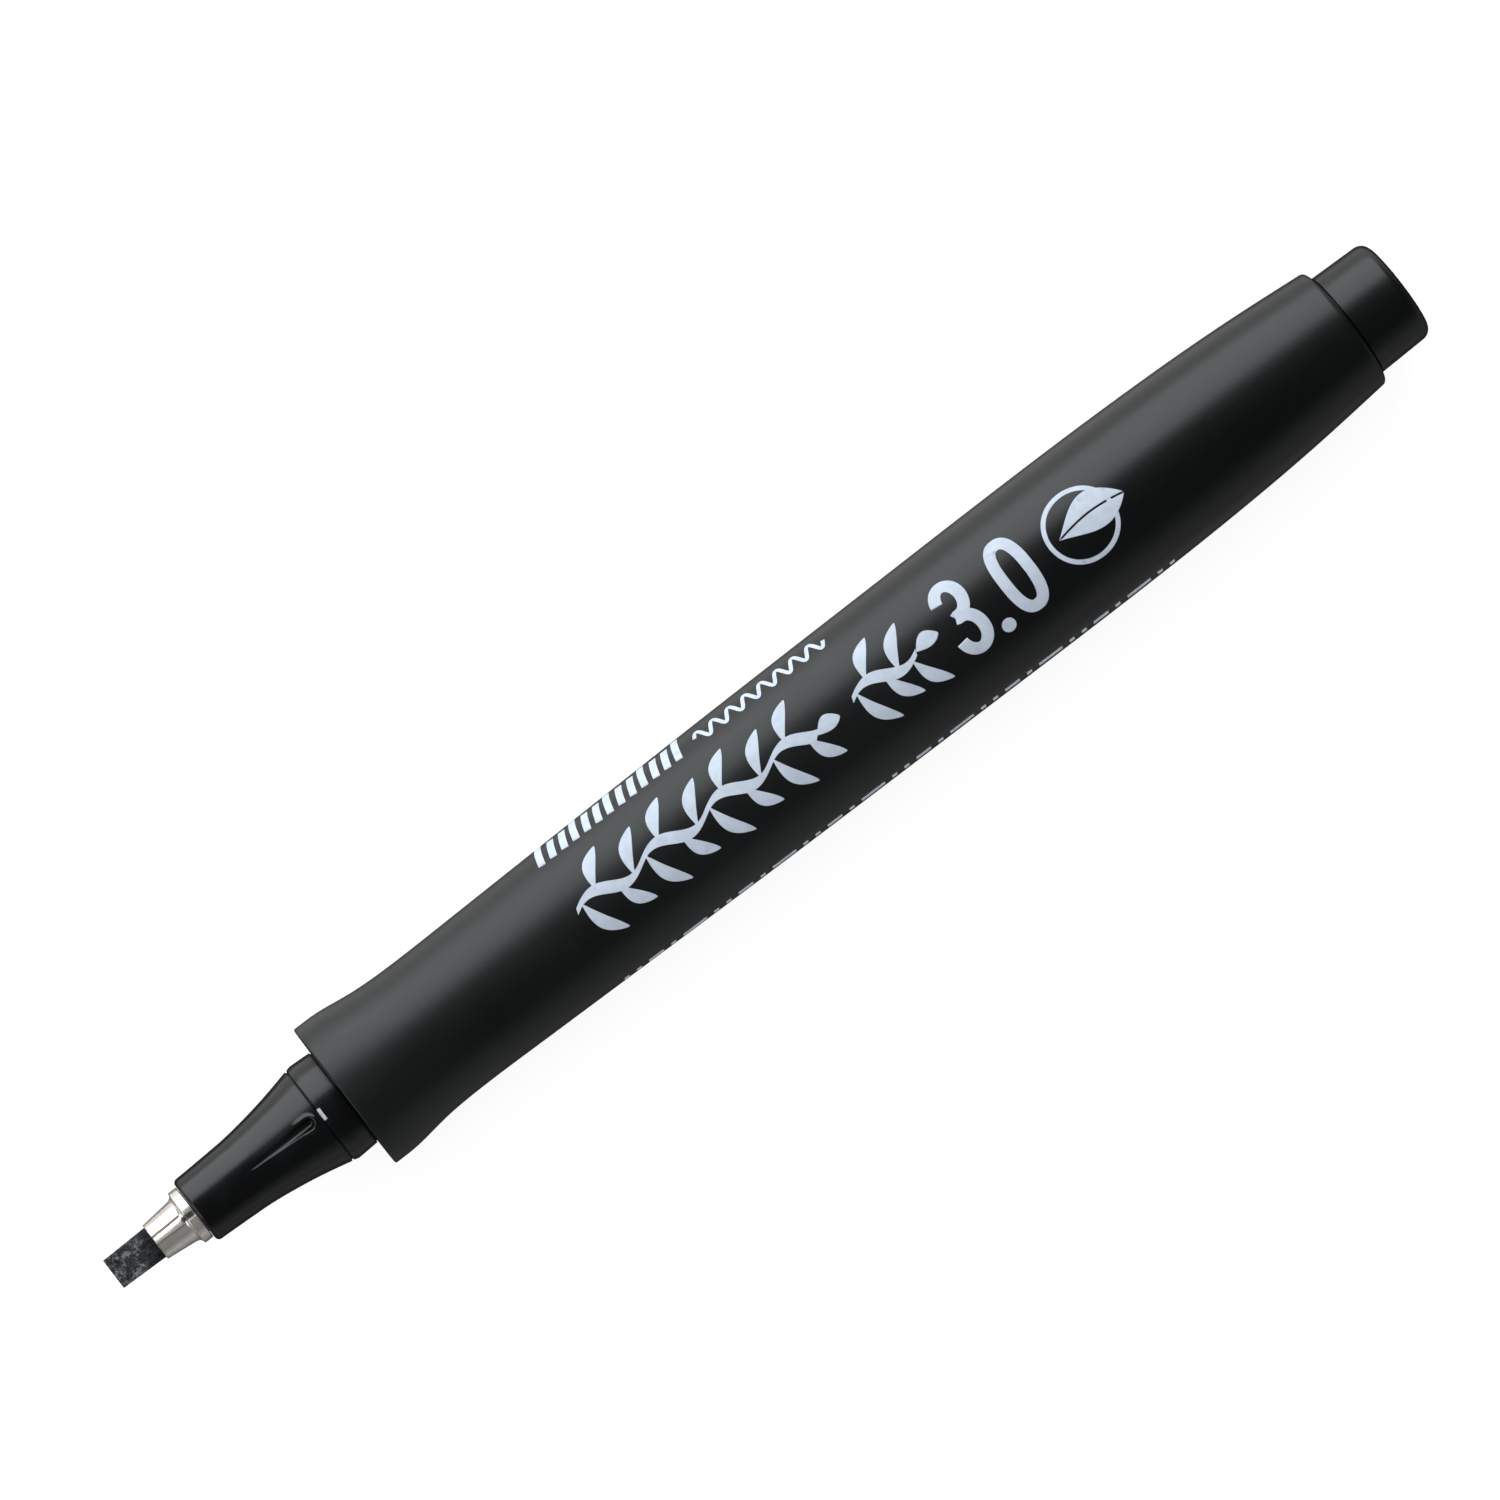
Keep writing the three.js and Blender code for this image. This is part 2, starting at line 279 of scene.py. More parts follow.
class Wire:
    """A shader socket that arithmetic works on: each operator adds the Math node that does it."""

    def __init__(self, tree, socket):
        self.tree = tree
        self.socket = socket

    def math(self, operation, *values):
        """A Math node on these values, of which this wire may be one."""
        node = self.tree.nodes.new("ShaderNodeMath")
        node.operation = operation
        for slot, value in zip(node.inputs, values):
            feed(self.tree, slot, value)
        return Wire(self.tree, node.outputs[0])

    def __add__(self, other):
        return self.math("ADD", self, other)

    def __radd__(self, other):
        return self.math("ADD", other, self)

    def __sub__(self, other):
        return self.math("SUBTRACT", self, other)

    def __rsub__(self, other):
        return self.math("SUBTRACT", other, self)

    def __mul__(self, other):
        return self.math("MULTIPLY", self, other)

    def __truediv__(self, other):
        return self.math("DIVIDE", self, other)

    def __abs__(self):
        return self.math("ABSOLUTE", self)

    def within(self, low, high):
        """0 where the value is below low, 1 above high, and smooth between."""
        node = self.tree.nodes.new("ShaderNodeMapRange")
        node.interpolation_type = "SMOOTHSTEP"
        for slot, value in zip(node.inputs, (self, low, high, 0.0, 1.0)):
            feed(self.tree, slot, value)
        return Wire(self.tree, node.outputs[0])


def feed(tree, slot, value):
    """Links a wire to a socket, or sets the socket to a number, colour or vector."""
    if isinstance(value, Wire):
        tree.links.new(value.socket, slot)
    else:
        slot.default_value = value


class Finish:
    """A material under construction, around one Principled shader."""

    def __init__(self, name, **uniform):
        self.material = bpy.data.materials.new(name)
        self.material.use_nodes = True
        self.tree = self.material.node_tree
        self.shader = self.tree.nodes["Principled BSDF"]
        self.set(**uniform)

    def set(self, **sockets):
        """Sets the shader's own sockets, whose names are written with _ for a space."""
        for name, value in sockets.items():
            feed(self.tree, self.shader.inputs[name.replace("_", " ")], value)

    def node(self, kind, output, settings=(), **sockets):
        """Adds a node: its settings first, then its sockets, then the named output as a wire."""
        node = self.tree.nodes.new(kind)
        for name, value in dict(settings).items():
            setattr(node, name, value)
        for name, value in sockets.items():
            feed(self.tree, node.inputs[name.replace("_", " ")], value)
        return Wire(self.tree, node.outputs[output])

    def place(self, stretch=(1, 1, 1)):
        """Where a point is, in millimetres along X, across and up from the axis, times stretch."""
        here = self.node("ShaderNodeTexCoord", "Object")
        scale = tuple(s / MM for s in stretch)
        shift = (0, 0, -AXIS * scale[2])
        return self.node("ShaderNodeMapping", "Vector", Vector=here, Scale=scale, Location=shift)

    def axes(self):
        """The three parts of a point's place."""
        apart = self.tree.nodes.new("ShaderNodeSeparateXYZ")
        feed(self.tree, apart.inputs[0], self.place())
        return [Wire(self.tree, part) for part in apart.outputs]

    def noise(self, size, stretch=(1, 1, 1), detail=2.0, roughness=0.5, seed=0):
        """Noise from 0 to 1 whose lumps are about size millimetres across, less where stretched."""
        return self.node(
            "ShaderNodeTexNoise",
            "Fac",
            {"noise_dimensions": "4D"},
            Vector=self.place(stretch),
            W=float(seed),
            Scale=1 / size,
            Detail=detail,
            Roughness=roughness,
        )

    def mix(self, share, a, b):
        """The colour a where share is 0, and b where it is 1."""
        node = self.tree.nodes.new("ShaderNodeMix")
        node.data_type = "RGBA"
        feed(self.tree, node.inputs["Factor"], share)
        for slot, value in (("A", a), ("B", b)):
            colour = next(s for s in node.inputs if s.name == slot and s.type == "RGBA")
            feed(self.tree, colour, value if isinstance(value, Wire) else (*value[:3], 1))
        return Wire(self.tree, next(s for s in node.outputs if s.type == "RGBA"))

    def bump(self, height, depth):
        """Sets the shader's normal from a height of 0 to 1 that stands for depth millimetres."""
        self.set(
            Normal=self.node(
                "ShaderNodeBump", "Normal", Height=height, Distance=depth * MM, Strength=1.0
            )
        )


def moulded_black(name, colour, roughness, grain, depth):
    """Black plastic from a spark-eroded mould: fine pits, rubbed patches and dust.

    It is smoother towards the tail, and darker there as painted shade.
    """
    finish = Finish(name, Specular_IOR_Level=0.5)
    pits = finish.noise(grain, detail=3.0, roughness=0.65)
    cloud = finish.noise(9.0, (0.35, 1, 1), detail=3.0, seed=2)
    rubbed = finish.noise(2.2, (0.25, 1, 1), detail=4.0, roughness=0.7, seed=5).within(0.52, 0.78)
    specks = finish.noise(0.35, detail=1.0, seed=8).within(0.74, 0.8)
    smooth = finish.axes()[0].within(-15.0, 45.0)
    dark, light = [c * 0.7 for c in colour], [c * 1.5 for c in colour]
    tone = finish.mix(cloud.within(0.3, 0.7), dark, light)
    # Painted shade: towards the tail the base colour darkens to a quarter of its value.
    tone = finish.mix(smooth * 0.7, tone, [c * 0.25 for c in colour])
    unevenness = (pits - 0.5) * 0.16 + (cloud - 0.5) * 0.1
    finish.set(
        Base_Color=finish.mix(specks * 0.12, tone, (0.12, 0.12, 0.12)),
        Roughness=roughness + unevenness - rubbed * 0.06 - smooth * 0.07,
    )
    finish.bump(pits + finish.noise(grain * 5, detail=2.0, seed=3) * 0.5, depth)
    return finish.material


def gloss_black(name, colour, roughness):
    """Black plastic from a polished mould: hairline scratches, and on the cut behind the slots a
    pale painted highlight.
    """
    finish = Finish(name, Specular_IOR_Level=0.5)
    hair = finish.noise(0.5, (0.04, 1, 1), detail=4.0, roughness=0.8)
    rings = finish.noise(0.4, (1, 0.05, 0.05), detail=3.0, roughness=0.8, seed=4)
    smudge = finish.noise(3.0, detail=3.0, seed=6).within(0.4, 0.75)
    lines = hair.within(0.6, 0.7) * 0.5 + rings.within(0.62, 0.7) * 0.5
    x, y, _ = finish.axes()
    # Painted highlight: the cut across the bead behind each slot is coloured pale and made rougher.
    off = abs(x - (front("nib_holder") / MM + VENT_CUT["at"]))
    cut = 1 - off.within(VENT_CUT["half"] - 0.03, VENT_CUT["half"] + 0.03)
    cut = cut * (1 - abs(y).within(VENT_CUT["reach"], VENT_CUT["reach"] + 0.1))
    tone = finish.mix(smudge, colour, [c * 1.5 for c in colour])
    finish.set(
        Base_Color=finish.mix(cut * 0.85, tone, (0.5, 0.52, 0.54)),
        Roughness=roughness + smudge * 0.05 + lines * 0.07 + cut * 0.3,
    )
    finish.bump(finish.noise(1.6, detail=2.0, seed=9) + lines * 0.08, 0.004)
    return finish.material


def plated_metal(name, colour, roughness):
    """Nickel plate on drawn brass: fine drawing lines along it, and turned ones round it.

    There is ink at the mouth, painted shade in the seam's crease, under its step and in the ring's
    gap, and a painted reflection, a warm darker tint, on the upper flank beyond the crease.
    """
    finish = Finish(name, Metallic=0.78)
    along = finish.noise(0.14, (0.03, 1, 1), detail=3.0, roughness=0.7)
    round_it = finish.noise(0.08, (1, 0.04, 0.04), detail=3.0, roughness=0.7, seed=3)
    bloom = finish.noise(1.2, detail=3.0, seed=5).within(0.35, 0.8)
    x, y, z = finish.axes()
    behind = x - front("nib_ferrule") / MM  # how far behind the ferrule's mouth
    inked = 1 - (behind + finish.noise(0.3, seed=7) * 0.5).within(0.16, 0.42)
    over = z.within(0.5, 1.0) * (1 - behind.within(FERRULE["ring_end"] - 0.3, FERRULE["ring_end"]))
    lean = y / z
    # Painted shade: dark lines in the seam's crease, under its step and in the ring's gap, on top.
    crease = 1 - abs(lean - math.tan(SEAM["to"])).within(0.02, 0.05)
    step = 1 - abs(lean - math.tan(SEAM["from"])).within(0.015, 0.035)
    ring = behind.within(FERRULE["cone"] + 0.1, FERRULE["cone"] + 0.4)
    gap_edge = RING_GAP["half"]
    gap = 1 - abs(lean - RING_GAP["middle"]).within(gap_edge - 0.03, gap_edge + 0.03)
    painted_shade = over * (gap * ring + (1 - ring) * (crease * 0.7 + step * 0.8))
    tone = finish.mix(bloom, colour, [colour[0] * 0.9, colour[1] * 0.86, colour[2] * 0.8])
    # Painted reflection: a warm, darker tint on the upper +Y flank beyond the crease.
    painted_warm_flank = z.within(0.2, 0.5) * (1 - ring) * lean.within(0.25, 0.3)
    tone = finish.mix(painted_warm_flank * 0.75, tone, (0.62, 0.56, 0.5))
    ink_and_painted_shade = inked * 0.75 + painted_shade * (1 - inked) * 0.85
    finish.set(
        Base_Color=finish.mix(ink_and_painted_shade, tone, (0.05, 0.045, 0.045)),
        Roughness=roughness + (along - 0.5) * 0.12 + bloom * 0.06 + inked * 0.2,
    )
    finish.bump(along * 0.6 + round_it * 0.6, 0.0025)
    return finish.material


def bonded_fibre(name, dark, light, strand, cut_until=None):
    """Fibres bonded side by side along X: streaks, clumps and pores, mottled where cut across."""
    finish = Finish(name, Specular_IOR_Level=0.1)
    streaks = finish.noise(strand, (0.12, 1, 1), detail=4.0, roughness=0.7).within(0.38, 0.7)
    clumps = finish.noise(strand * 5, (0.4, 1, 1), detail=3.0, seed=4)
    pores = finish.noise(strand * 1.2, (0.5, 1, 1), detail=2.0, seed=6).within(0.56, 0.7)
    tone = streaks * 0.35 + clumps.within(0.45, 0.75) * 0.3
    if cut_until is not None:
        cut = 1 - (finish.axes()[0] + clumps * 1.6).within(cut_until, cut_until + 0.5)
        patches = finish.noise(strand * 12, detail=3.0, seed=14).within(0.43, 0.57)
        ends = finish.noise(strand * 3.2, detail=6.0, roughness=0.85, seed=9).within(0.42, 0.72)
        tone = tone * 0.25 + cut * ends * (0.12 + patches * 0.95)
    colour = finish.mix(tone, dark, light)
    finish.set(
        Base_Color=finish.mix(pores * 0.75, colour, [c * 0.3 for c in dark]),
        Roughness=0.62 + streaks * 0.25,
    )
    finish.bump(streaks * 0.6 - pores * 0.8, strand * 0.3)
    return finish.material


def printed_ink(name, colour):
    """Screen-printed ink: uneven in tone, thin over the moulding's pits, rubbed in places."""
    finish = Finish(name, Specular_IOR_Level=0.45)
    body = finish.noise(0.9, detail=3.0)
    pits = finish.noise(0.16, detail=3.0, roughness=0.65, seed=2)
    rubbed = (finish.noise(1.5, detail=5.0, roughness=0.75, seed=5) + pits * 0.3).within(0.78, 0.9)
    tone = finish.mix(body.within(0.3, 0.7), [c * 0.88 for c in colour], colour)
    finish.set(
        Base_Color=finish.mix(rubbed * 0.6, tone, (0.05, 0.055, 0.06)),
        Roughness=0.5 + pits * 0.2,
    )
    finish.bump(pits, 0.008)
    return finish.material


def clear_wrap(name, colour, alpha):
    """Clear film with drawing lines along it, tinted by the ink behind it."""
    finish = Finish(name, Alpha=alpha, IOR=1.5)
    lines = finish.noise(0.3, (0.05, 1, 1), detail=3.0)
    finish.set(
        Base_Color=finish.mix(lines, colour, [c * 0.8 for c in colour]),
        Roughness=0.12 + lines * 0.15,
    )
    finish.bump(lines, 0.01)
    return finish.material


def glowing(name, colour, strength, **uniform):
    """A plain finish that gives off white light of its own."""
    light = {"Emission_Color": (1, 1, 1, 1), "Emission_Strength": strength}
    return Finish(name, Base_Color=(*colour, 1), **light, **uniform).material


# ---- Properties --------------------------------------------------------------------------------


def shade(name, description, default):
    """A colour property."""
    return FloatVectorProperty(
        name=name, description=description, default=default, subtype="COLOR", size=3, min=0, max=1
    )


def length(name, description, default):
    """A length property, in metres."""
    return FloatProperty(
        name=name, description=description, default=default, unit="LENGTH", precision=5, min=0
    )


def fraction(name, description, default):
    """A property from 0 to 1."""
    return FloatProperty(
        name=name, description=description, default=default, subtype="FACTOR", min=0, max=1
    )


class MarkerBarrelLook(bpy.types.PropertyGroup):
    """The matt shell: the barrel and the plug in its tail."""

    colour: shade("Colour", "Colour of the matt plastic", (0.0036, 0.0042, 0.0044))
    roughness: fraction("Roughness", "Roughness of the matt plastic", 0.42)
    grain: length("Grain", "Size of the mould texture's pits", 0.00016)
    depth: length("Depth", "Depth of the mould texture's pits", 0.000006)
    columns: IntProperty(
        name="Columns", description="Points round the barrel", default=176, min=48, max=400
    )


class MarkerHolderLook(bpy.types.PropertyGroup):
    """The polished cone that holds the nib."""

    colour: shade("Colour", "Colour of the polished plastic", (0.002, 0.0022, 0.0024))
    roughness: fraction("Roughness", "Roughness of the polished plastic", 0.25)
    slot_width: length("Slot width", "Width of the vent slots", 0.0009)
    slot_lip: length("Slot lip", "Width of the slots' rounded lip", 0.00018)


class MarkerFerruleLook(bpy.types.PropertyGroup):
    """The metal sleeve round the nib."""

    colour: shade("Colour", "Colour of the plated metal", (0.84, 0.79, 0.745))
    roughness: fraction("Roughness", "Roughness of the plated metal", 0.2)


class MarkerNibLook(bpy.types.PropertyGroup):
    """The chisel nib and the wick behind it."""

    width: length("Width", "Width of the nib at the ferrule", 0.003)
    thickness: length("Thickness", "Thickness of the nib", 0.002)
    edge: length("Edge", "Thickness left at the chisel's edge", 0.0006)
    bevel: length("Bevel", "Length of the chisel's faces", 0.0035)
    dark: shade("Dark", "Colour of the fibres soaked in ink", (0.003, 0.0036, 0.0038))
    light: shade("Light", "Colour of the lighter fibres", (0.31, 0.32, 0.33))


class MarkerPrintLook(bpy.types.PropertyGroup):
    """The printed sprays, size and ring."""

    colour: shade("Colour", "Colour of the printed ink", (0.48, 0.535, 0.625))
    pen_width: length("Pen width", "Width of the broad pen that draws the stems", 0.00112)
    pen_edge: length("Pen edge", "Thickness of the broad pen's edge", 0.00034)
    pen_angle: FloatProperty(
        name="Pen angle",
        description="Slope of the broad pen's edge to the line of writing",
        default=math.radians(38),
        unit="ROTATION",
    )


class MarkerStageLook(bpy.types.PropertyGroup):
    """Floor, lights and camera."""

    floor: shade("Floor", "Colour of the floor", (0.2, 0.2, 0.2))
    glow: fraction("Glow", "Light that the floor gives off by itself", 0.88)
    key: FloatProperty(name="Key", description="Radiance of the large soft light", default=2.7)
    fill: FloatProperty(name="Fill", description="Radiance of the soft fill light", default=0.2)
    top: FloatProperty(name="Top", description="Radiance of the light overhead", default=1.3)
    distance: length("Distance", "Height of the camera above the marker's axis", 1.1)
    field: length("Field", "Width of what the camera sees at the marker", 0.12275)
    roll: FloatProperty(
        name="Roll",
        description="Rise of the marker's axis in the picture",
        default=math.radians(37.6),
        unit="ROTATION",
    )


# ---- Pieces ------------------------------------------------------------------------------------

BARREL_LENGTH = 103.7
BARREL_FLANK = [
    (0.6, 6.88),
    (2, 6.86),
    (5.2, 6.47),
    (9, 6.26),
    (15, 6.31),
    (24, 6.46),
    (40, 6.7),
    (60, 6.84),
    (78, 6.88),
    (88, 6.69),
    (96, 6.29),
    (103.2, 5.68),
]
FRONT_SOCKET = {"radius": 4.52, "depth": 11.2, "lip": 0.34}
TAIL_SOCKET = {"radius": 4.7, "depth": 14.6}
TAIL_CORNER = {"along": 0.5, "across": 0.7}
CHAMBER_RADIUS = 4.62
RIBS = {"count": 6, "reach": 4.25, "width": 0.8, "set_back": 0.8}
PARTING_ANGLE = math.radians(24.5)  # of one of the two fine lines where the mould's halves met


def barrel_radius(station):
    """Outer radius of the barrel at a station behind its front rim."""
    return spline(*zip(*BARREL_FLANK), station)


def barrel_outline():
    """The barrel's outline: front rim, flank, rounded tail, and back through the stepped bore."""
    end = BARREL_LENGTH
    tail_radius = BARREL_FLANK[-1][1]
    turn = np.linspace(0, math.pi / 2, 9)[1:]
    tail = np.column_stack(
        [
            end - TAIL_CORNER["along"] * (1 - np.sin(turn)),
            tail_radius - TAIL_CORNER["across"] * (1 - np.cos(turn)),
        ]
    )
    tail_step = end - TAIL_SOCKET["depth"]
    front_step = FRONT_SOCKET["depth"]
    rib_ends = (front_step + RIBS["set_back"], tail_step - RIBS["set_back"])
    return outline(
        (0, 6.88, 0.16),
        flank(BARREL_FLANK, 0.6),
        tail,
        (end, TAIL_SOCKET["radius"] + 0.1, 0.03),
        (end - 0.1, TAIL_SOCKET["radius"], 0.03),
        (tail_step, TAIL_SOCKET["radius"], 0.05),
        (tail_step - 0.3, CHAMBER_RADIUS, 0.05),
        (rib_ends[1] + 0.06, CHAMBER_RADIUS, 0),
        (rib_ends[1] - 0.06, CHAMBER_RADIUS, 0),
        (rib_ends[0] + 0.06, CHAMBER_RADIUS, 0),
        (rib_ends[0] - 0.06, CHAMBER_RADIUS, 0),
        (front_step + 0.3, CHAMBER_RADIUS, 0.05),
        (front_step, FRONT_SOCKET["radius"], 0.05),
        (FRONT_SOCKET["lip"], FRONT_SOCKET["radius"], 0.06),
        (0, FRONT_SOCKET["radius"] + FRONT_SOCKET["lip"], 0.06),
    ), rib_ends


class MARKER_OT_barrel(bpy.types.Operator):
    """Build the barrel: a waisted tube with two parting lines outside and six ribs inside"""

    bl_idname = "marker.barrel"
    bl_label = "Barrel"

    def execute(self, context):
        look = context.scene.marker_barrel
        points, rib_ends = barrel_outline()
        partings = [PARTING_ANGLE, PARTING_ANGLE + math.pi]
        ribs = (np.arange(RIBS["count"]) + 0.5) * TURN / RIBS["count"]
        angles = around(
            look.columns,
            *[(a % TURN, 0.024, 7) for a in partings],
            *[(a, 0.5 * RIBS["width"] / CHAMBER_RADIUS + 0.03, 10) for a in ribs],
        )
        grid = lathe(points, angles)
        station, radius = points.T
        # A rib lowers the chamber's radius over its width, and a parting line raises the flank's.
        off_rib = np.min([angle_from(angles, a) for a in ribs], axis=0) * CHAMBER_RADIUS
        on_rib = 1 - ease((off_rib - RIBS["width"] / 2) / 0.12 + 0.5)
        in_chamber = (station > rib_ends[0]) & (station < rib_ends[1])
        on_bore = in_chamber & (radius < CHAMBER_RADIUS + 0.01)
        rib_height = (CHAMBER_RADIUS - RIBS["reach"]) * on_bore[:, None] * on_rib
        off_line = np.min([angle_from(angles, a) for a in partings], axis=0) * BARREL_FLANK[0][1]
        outside = (radius > 5.2) & (station > 0.25)
        ridge = 0.007 * np.exp(-((off_line / 0.06) ** 2)) * outside[:, None]
        scale = 1 + (ridge - rib_height) / radius[:, None]
        grid[..., 1:] *= scale[..., None]
        piece = skin("barrel_shell", [placed(grid, front("barrel"))], poles=False)
        matt = moulded_black(
            "matt_black", look.colour, look.roughness, look.grain / MM, look.depth / MM
        )
        finished(piece, "barrel", "barrel_plastic", matt, "barrel")
        return {"FINISHED"}


class MARKER_OT_end_plug(bpy.types.Operator):
    """Build the plug in the barrel's tail: a closed stub, and a slotted skirt with snap rings"""

    bl_idname = "marker.end_plug"
    bl_label = "End Plug"

    def execute(self, context):
        look = context.scene.marker_barrel
        skirt, snap, wall, spigot, corner = 4.58, 4.64, 1.1, 14.3, 1.0
        end = (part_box("end_plug")[1].x - front("end_plug")) / MM
        slot_depth, slot_width = 5.0, 1.0
        rings = [
            (at + step, radius, 0.05)
            for at in (3.2, 10.4)
            for step, radius in ((0, skirt), (0.3, snap), (0.7, snap), (1, skirt))
        ]
        points = outline(
            (end - corner - wall, 0),
            (end - corner - wall, skirt - wall, 0.4),
            (slot_depth + 1, skirt - wall, 0),
            (0, skirt - wall, 0.1),
            (0, skirt - 0.5, 0.1),
            (0.5, skirt, 0.1),
            *rings[:4],
            (slot_depth + 1, skirt, 0),
            *rings[4:],
            (spigot, skirt, 0.05),
            (spigot, 4.83, 0.08),
            (end - 0.12, 4.7, corner),
            (end, 2.5, 3),
            (end, 0),
            closed=False,
        )
        slots = np.arange(4) * TURN / 4
        half = slot_width / 2 / skirt
        angles = around(144, *[(a, half + 0.03, 14) for a in slots])
        grid = lathe(points, angles)
        # At a slot, the skirt's first stretch is pushed back behind the slot, without its ring.
        off_slot = np.min([angle_from(angles, a) for a in slots], axis=0) - half
        inside = 1 - ease(off_slot / 0.006 + 0.5)
        station, radius = points.T
        reach = slot_depth + 1
        first = (station < reach)[:, None] * inside
        pushed = slot_depth + station / reach
        grid[..., 0] += first * (pushed - station)[:, None]
        off_skirt = 1 - np.minimum(skirt / np.maximum(radius, 0.01), 1)
        scale = 1 - first * off_skirt[:, None]
        grid[..., 1:] *= scale[..., None]
        piece = skin("plug_shell", [placed(grid, front("end_plug"))], poles=True)
        grain, depth = look.grain / MM * 0.8, look.depth / MM * 0.6
        satin = moulded_black("satin_black", look.colour, look.roughness - 0.02, grain, depth)
        finished(piece, "end_plug", "plug_plastic", satin, "end_plug")
        return {"FINISHED"}


HOLDER_CONE = [(0.9, 3.085), (2.5, 3.15), (5, 3.27), (7.4, 3.54), (9.9, 3.95), (12.7, 4.56)]
SLOTTED_FROM = 5.05  # from this station on, the outline is fine enough for the vent slots
SLOT_FLOOR = {"front": 3.3, "from": 6.0, "rise": 0.095, "dish": 0.24}  # heights above the axis
SLOT_END = 12.1
SLOT_RIM = {"off": 0.2, "half": 0.17, "height": 0.15}  # the low rim round a slot's rear end
VENT_CUT = {"at": 13.02, "half": 0.15, "reach": 0.5, "depth": 0.07}  # across the bead, at each slot


class MARKER_OT_nib_holder(bpy.types.Operator):
    """Build the nib holder: a cone with two vent slots, a bead and a collar, and a spigot behind"""

    bl_idname = "marker.nib_holder"
    bl_label = "Nib Holder"

    def execute(self, context):
        look = context.scene.marker_holder
        collar, spigot, bore, chamber = 4.6, 4.46, 2.05, 2.9
        shoulder = (front("barrel") - front("nib_holder")) / MM - 0.12
        end = (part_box("nib_holder")[1].x - front("nib_holder")) / MM
        notch_top, notch_depth = 2.55, 0.6
        cone = flank(HOLDER_CONE, 0.06)
        points = outline(
            (0, notch_top + 0.04, 0),
            (0, 3.06, 0.42),
            flank(HOLDER_CONE[:3], 0.3),
            cone[cone[:, 0] > SLOTTED_FROM],
            (12.81, 4.4, 0.02),
            (12.94, 4.6, 0.05),
            (13.35, 4.7, 0.4),
            (shoulder, collar, 0.08),
            (shoulder, spigot, 0.03),
            (end - 0.8, spigot, 0.2),
            (end, spigot - 0.3, 0.1),
            (end, chamber, 0.05),
            (11.1, chamber, 0.1),
            (11.1, 1.55, 0.05),
            (9.9, 1.55, 0.05),
            (9.9, bore, 0.05),
            (notch_depth + 0.04, bore, 0),
            (notch_depth - 0.04, bore, 0),
            (0, bore, 0.08),
            (0, notch_top - 0.04, 0),
        )
        angles = around(120, (0, 0.26, 58), (math.pi, 0.26, 58))
        grid = lathe(points, angles)
        outside = (points[:, 1] > 2.95) & (points[:, 0] < 12.6)
        self.sink_slots(grid, outside, look.slot_width / MM / 2, look.slot_lip / MM)
        # The mouth's two air notches push the front face and the bore's first stretch nine tenths
        # of the way back, so that no two rows meet.
        near = (points[:, 1] < notch_top) & (points[:, 0] < notch_depth)
        notch = near[:, None] * (1 - ease((np.abs(grid[..., 1]) - 0.25) / 0.06 + 0.5))
        grid[..., 0] += 0.9 * notch * (notch_depth - grid[..., 0])
        piece = skin("holder_shell", [placed(grid, front("nib_holder"))], poles=False)
        gloss = gloss_black("gloss_black", look.colour, look.roughness)
        finished(piece, "nib_unit", "holder_plastic", gloss, "nib_holder")
        return {"FINISHED"}

    def sink_slots(self, grid, outside, half, lip):
        """Lowers the cone to a dished floor inside a round-ended slot, on top and underneath.

        With d the distance outside the slot's outline, a rod of radius half drawn along X, the
        surface goes smoothly from the cone at d = lip / 2 to the floor at d = -lip. The floor's
        height is front + rise (x - from) + dish (y / half)^2. A low rim stands round the slot's
        rear end, and behind it a shallow cut crosses the bead.
        """
        x, y, z = np.moveaxis(grid, -1, 0)
        centre = SLOT_END - half
        d = np.hypot(y, np.maximum(x - centre, 0)) - half
        rim = np.exp(-(((d - SLOT_RIM["off"]) / SLOT_RIM["half"]) ** 2))
        rim = rim * ease((x - centre + 1.3) / 1.3)
        cut = np.exp(-(((x - VENT_CUT["at"]) / VENT_CUT["half"]) ** 4))
        cut = cut * (1 - ease((np.abs(y) - VENT_CUT["reach"]) / 0.12)) * (np.abs(z) > 4)
        grid[..., 2] -= np.sign(z) * VENT_CUT["depth"] * cut
        grid[..., 2] += np.sign(z) * SLOT_RIM["height"] * rim * outside[:, None]
        z = grid[..., 2]
        inside = 1 - ease((d + lip) / (1.5 * lip))
        floor = SLOT_FLOOR["front"] + SLOT_FLOOR["rise"] * np.maximum(x - SLOT_FLOOR["from"], 0)
        floor = floor + SLOT_FLOOR["dish"] * (y / half) ** 2
        drop = np.maximum(np.abs(z) - floor, 0) * inside * outside[:, None]
        grid[..., 2] -= np.sign(z) * drop


FERRULE = {
    "mouth": 1.715,
    "root": 1.985,
    "cone": 2.55,
    "ring": 2.54,
    "ring_start": 3.2,
    "ring_end": 4.07,
}
FERRULE_TUBE = {"radius": 1.98, "wall": 0.33, "end": 13.8}
SEAM = {"step": 0.17, "from": -0.15, "to": 0.245}  # the lapped seam, in millimetres and radians
CREASE = {"depth": 0.07, "half": 0.035}  # at the foot of the lap, in millimetres and radians
RING_GAP = {"middle": 0.015, "half": 0.1, "depth": 0.26}  # where the rolled ring's two ends meet
MOUTH_HEIGHT = 0.85  # height over width of the ferrule's mouth
SQUARENESS = 3.2  # superellipse power of the nib's section


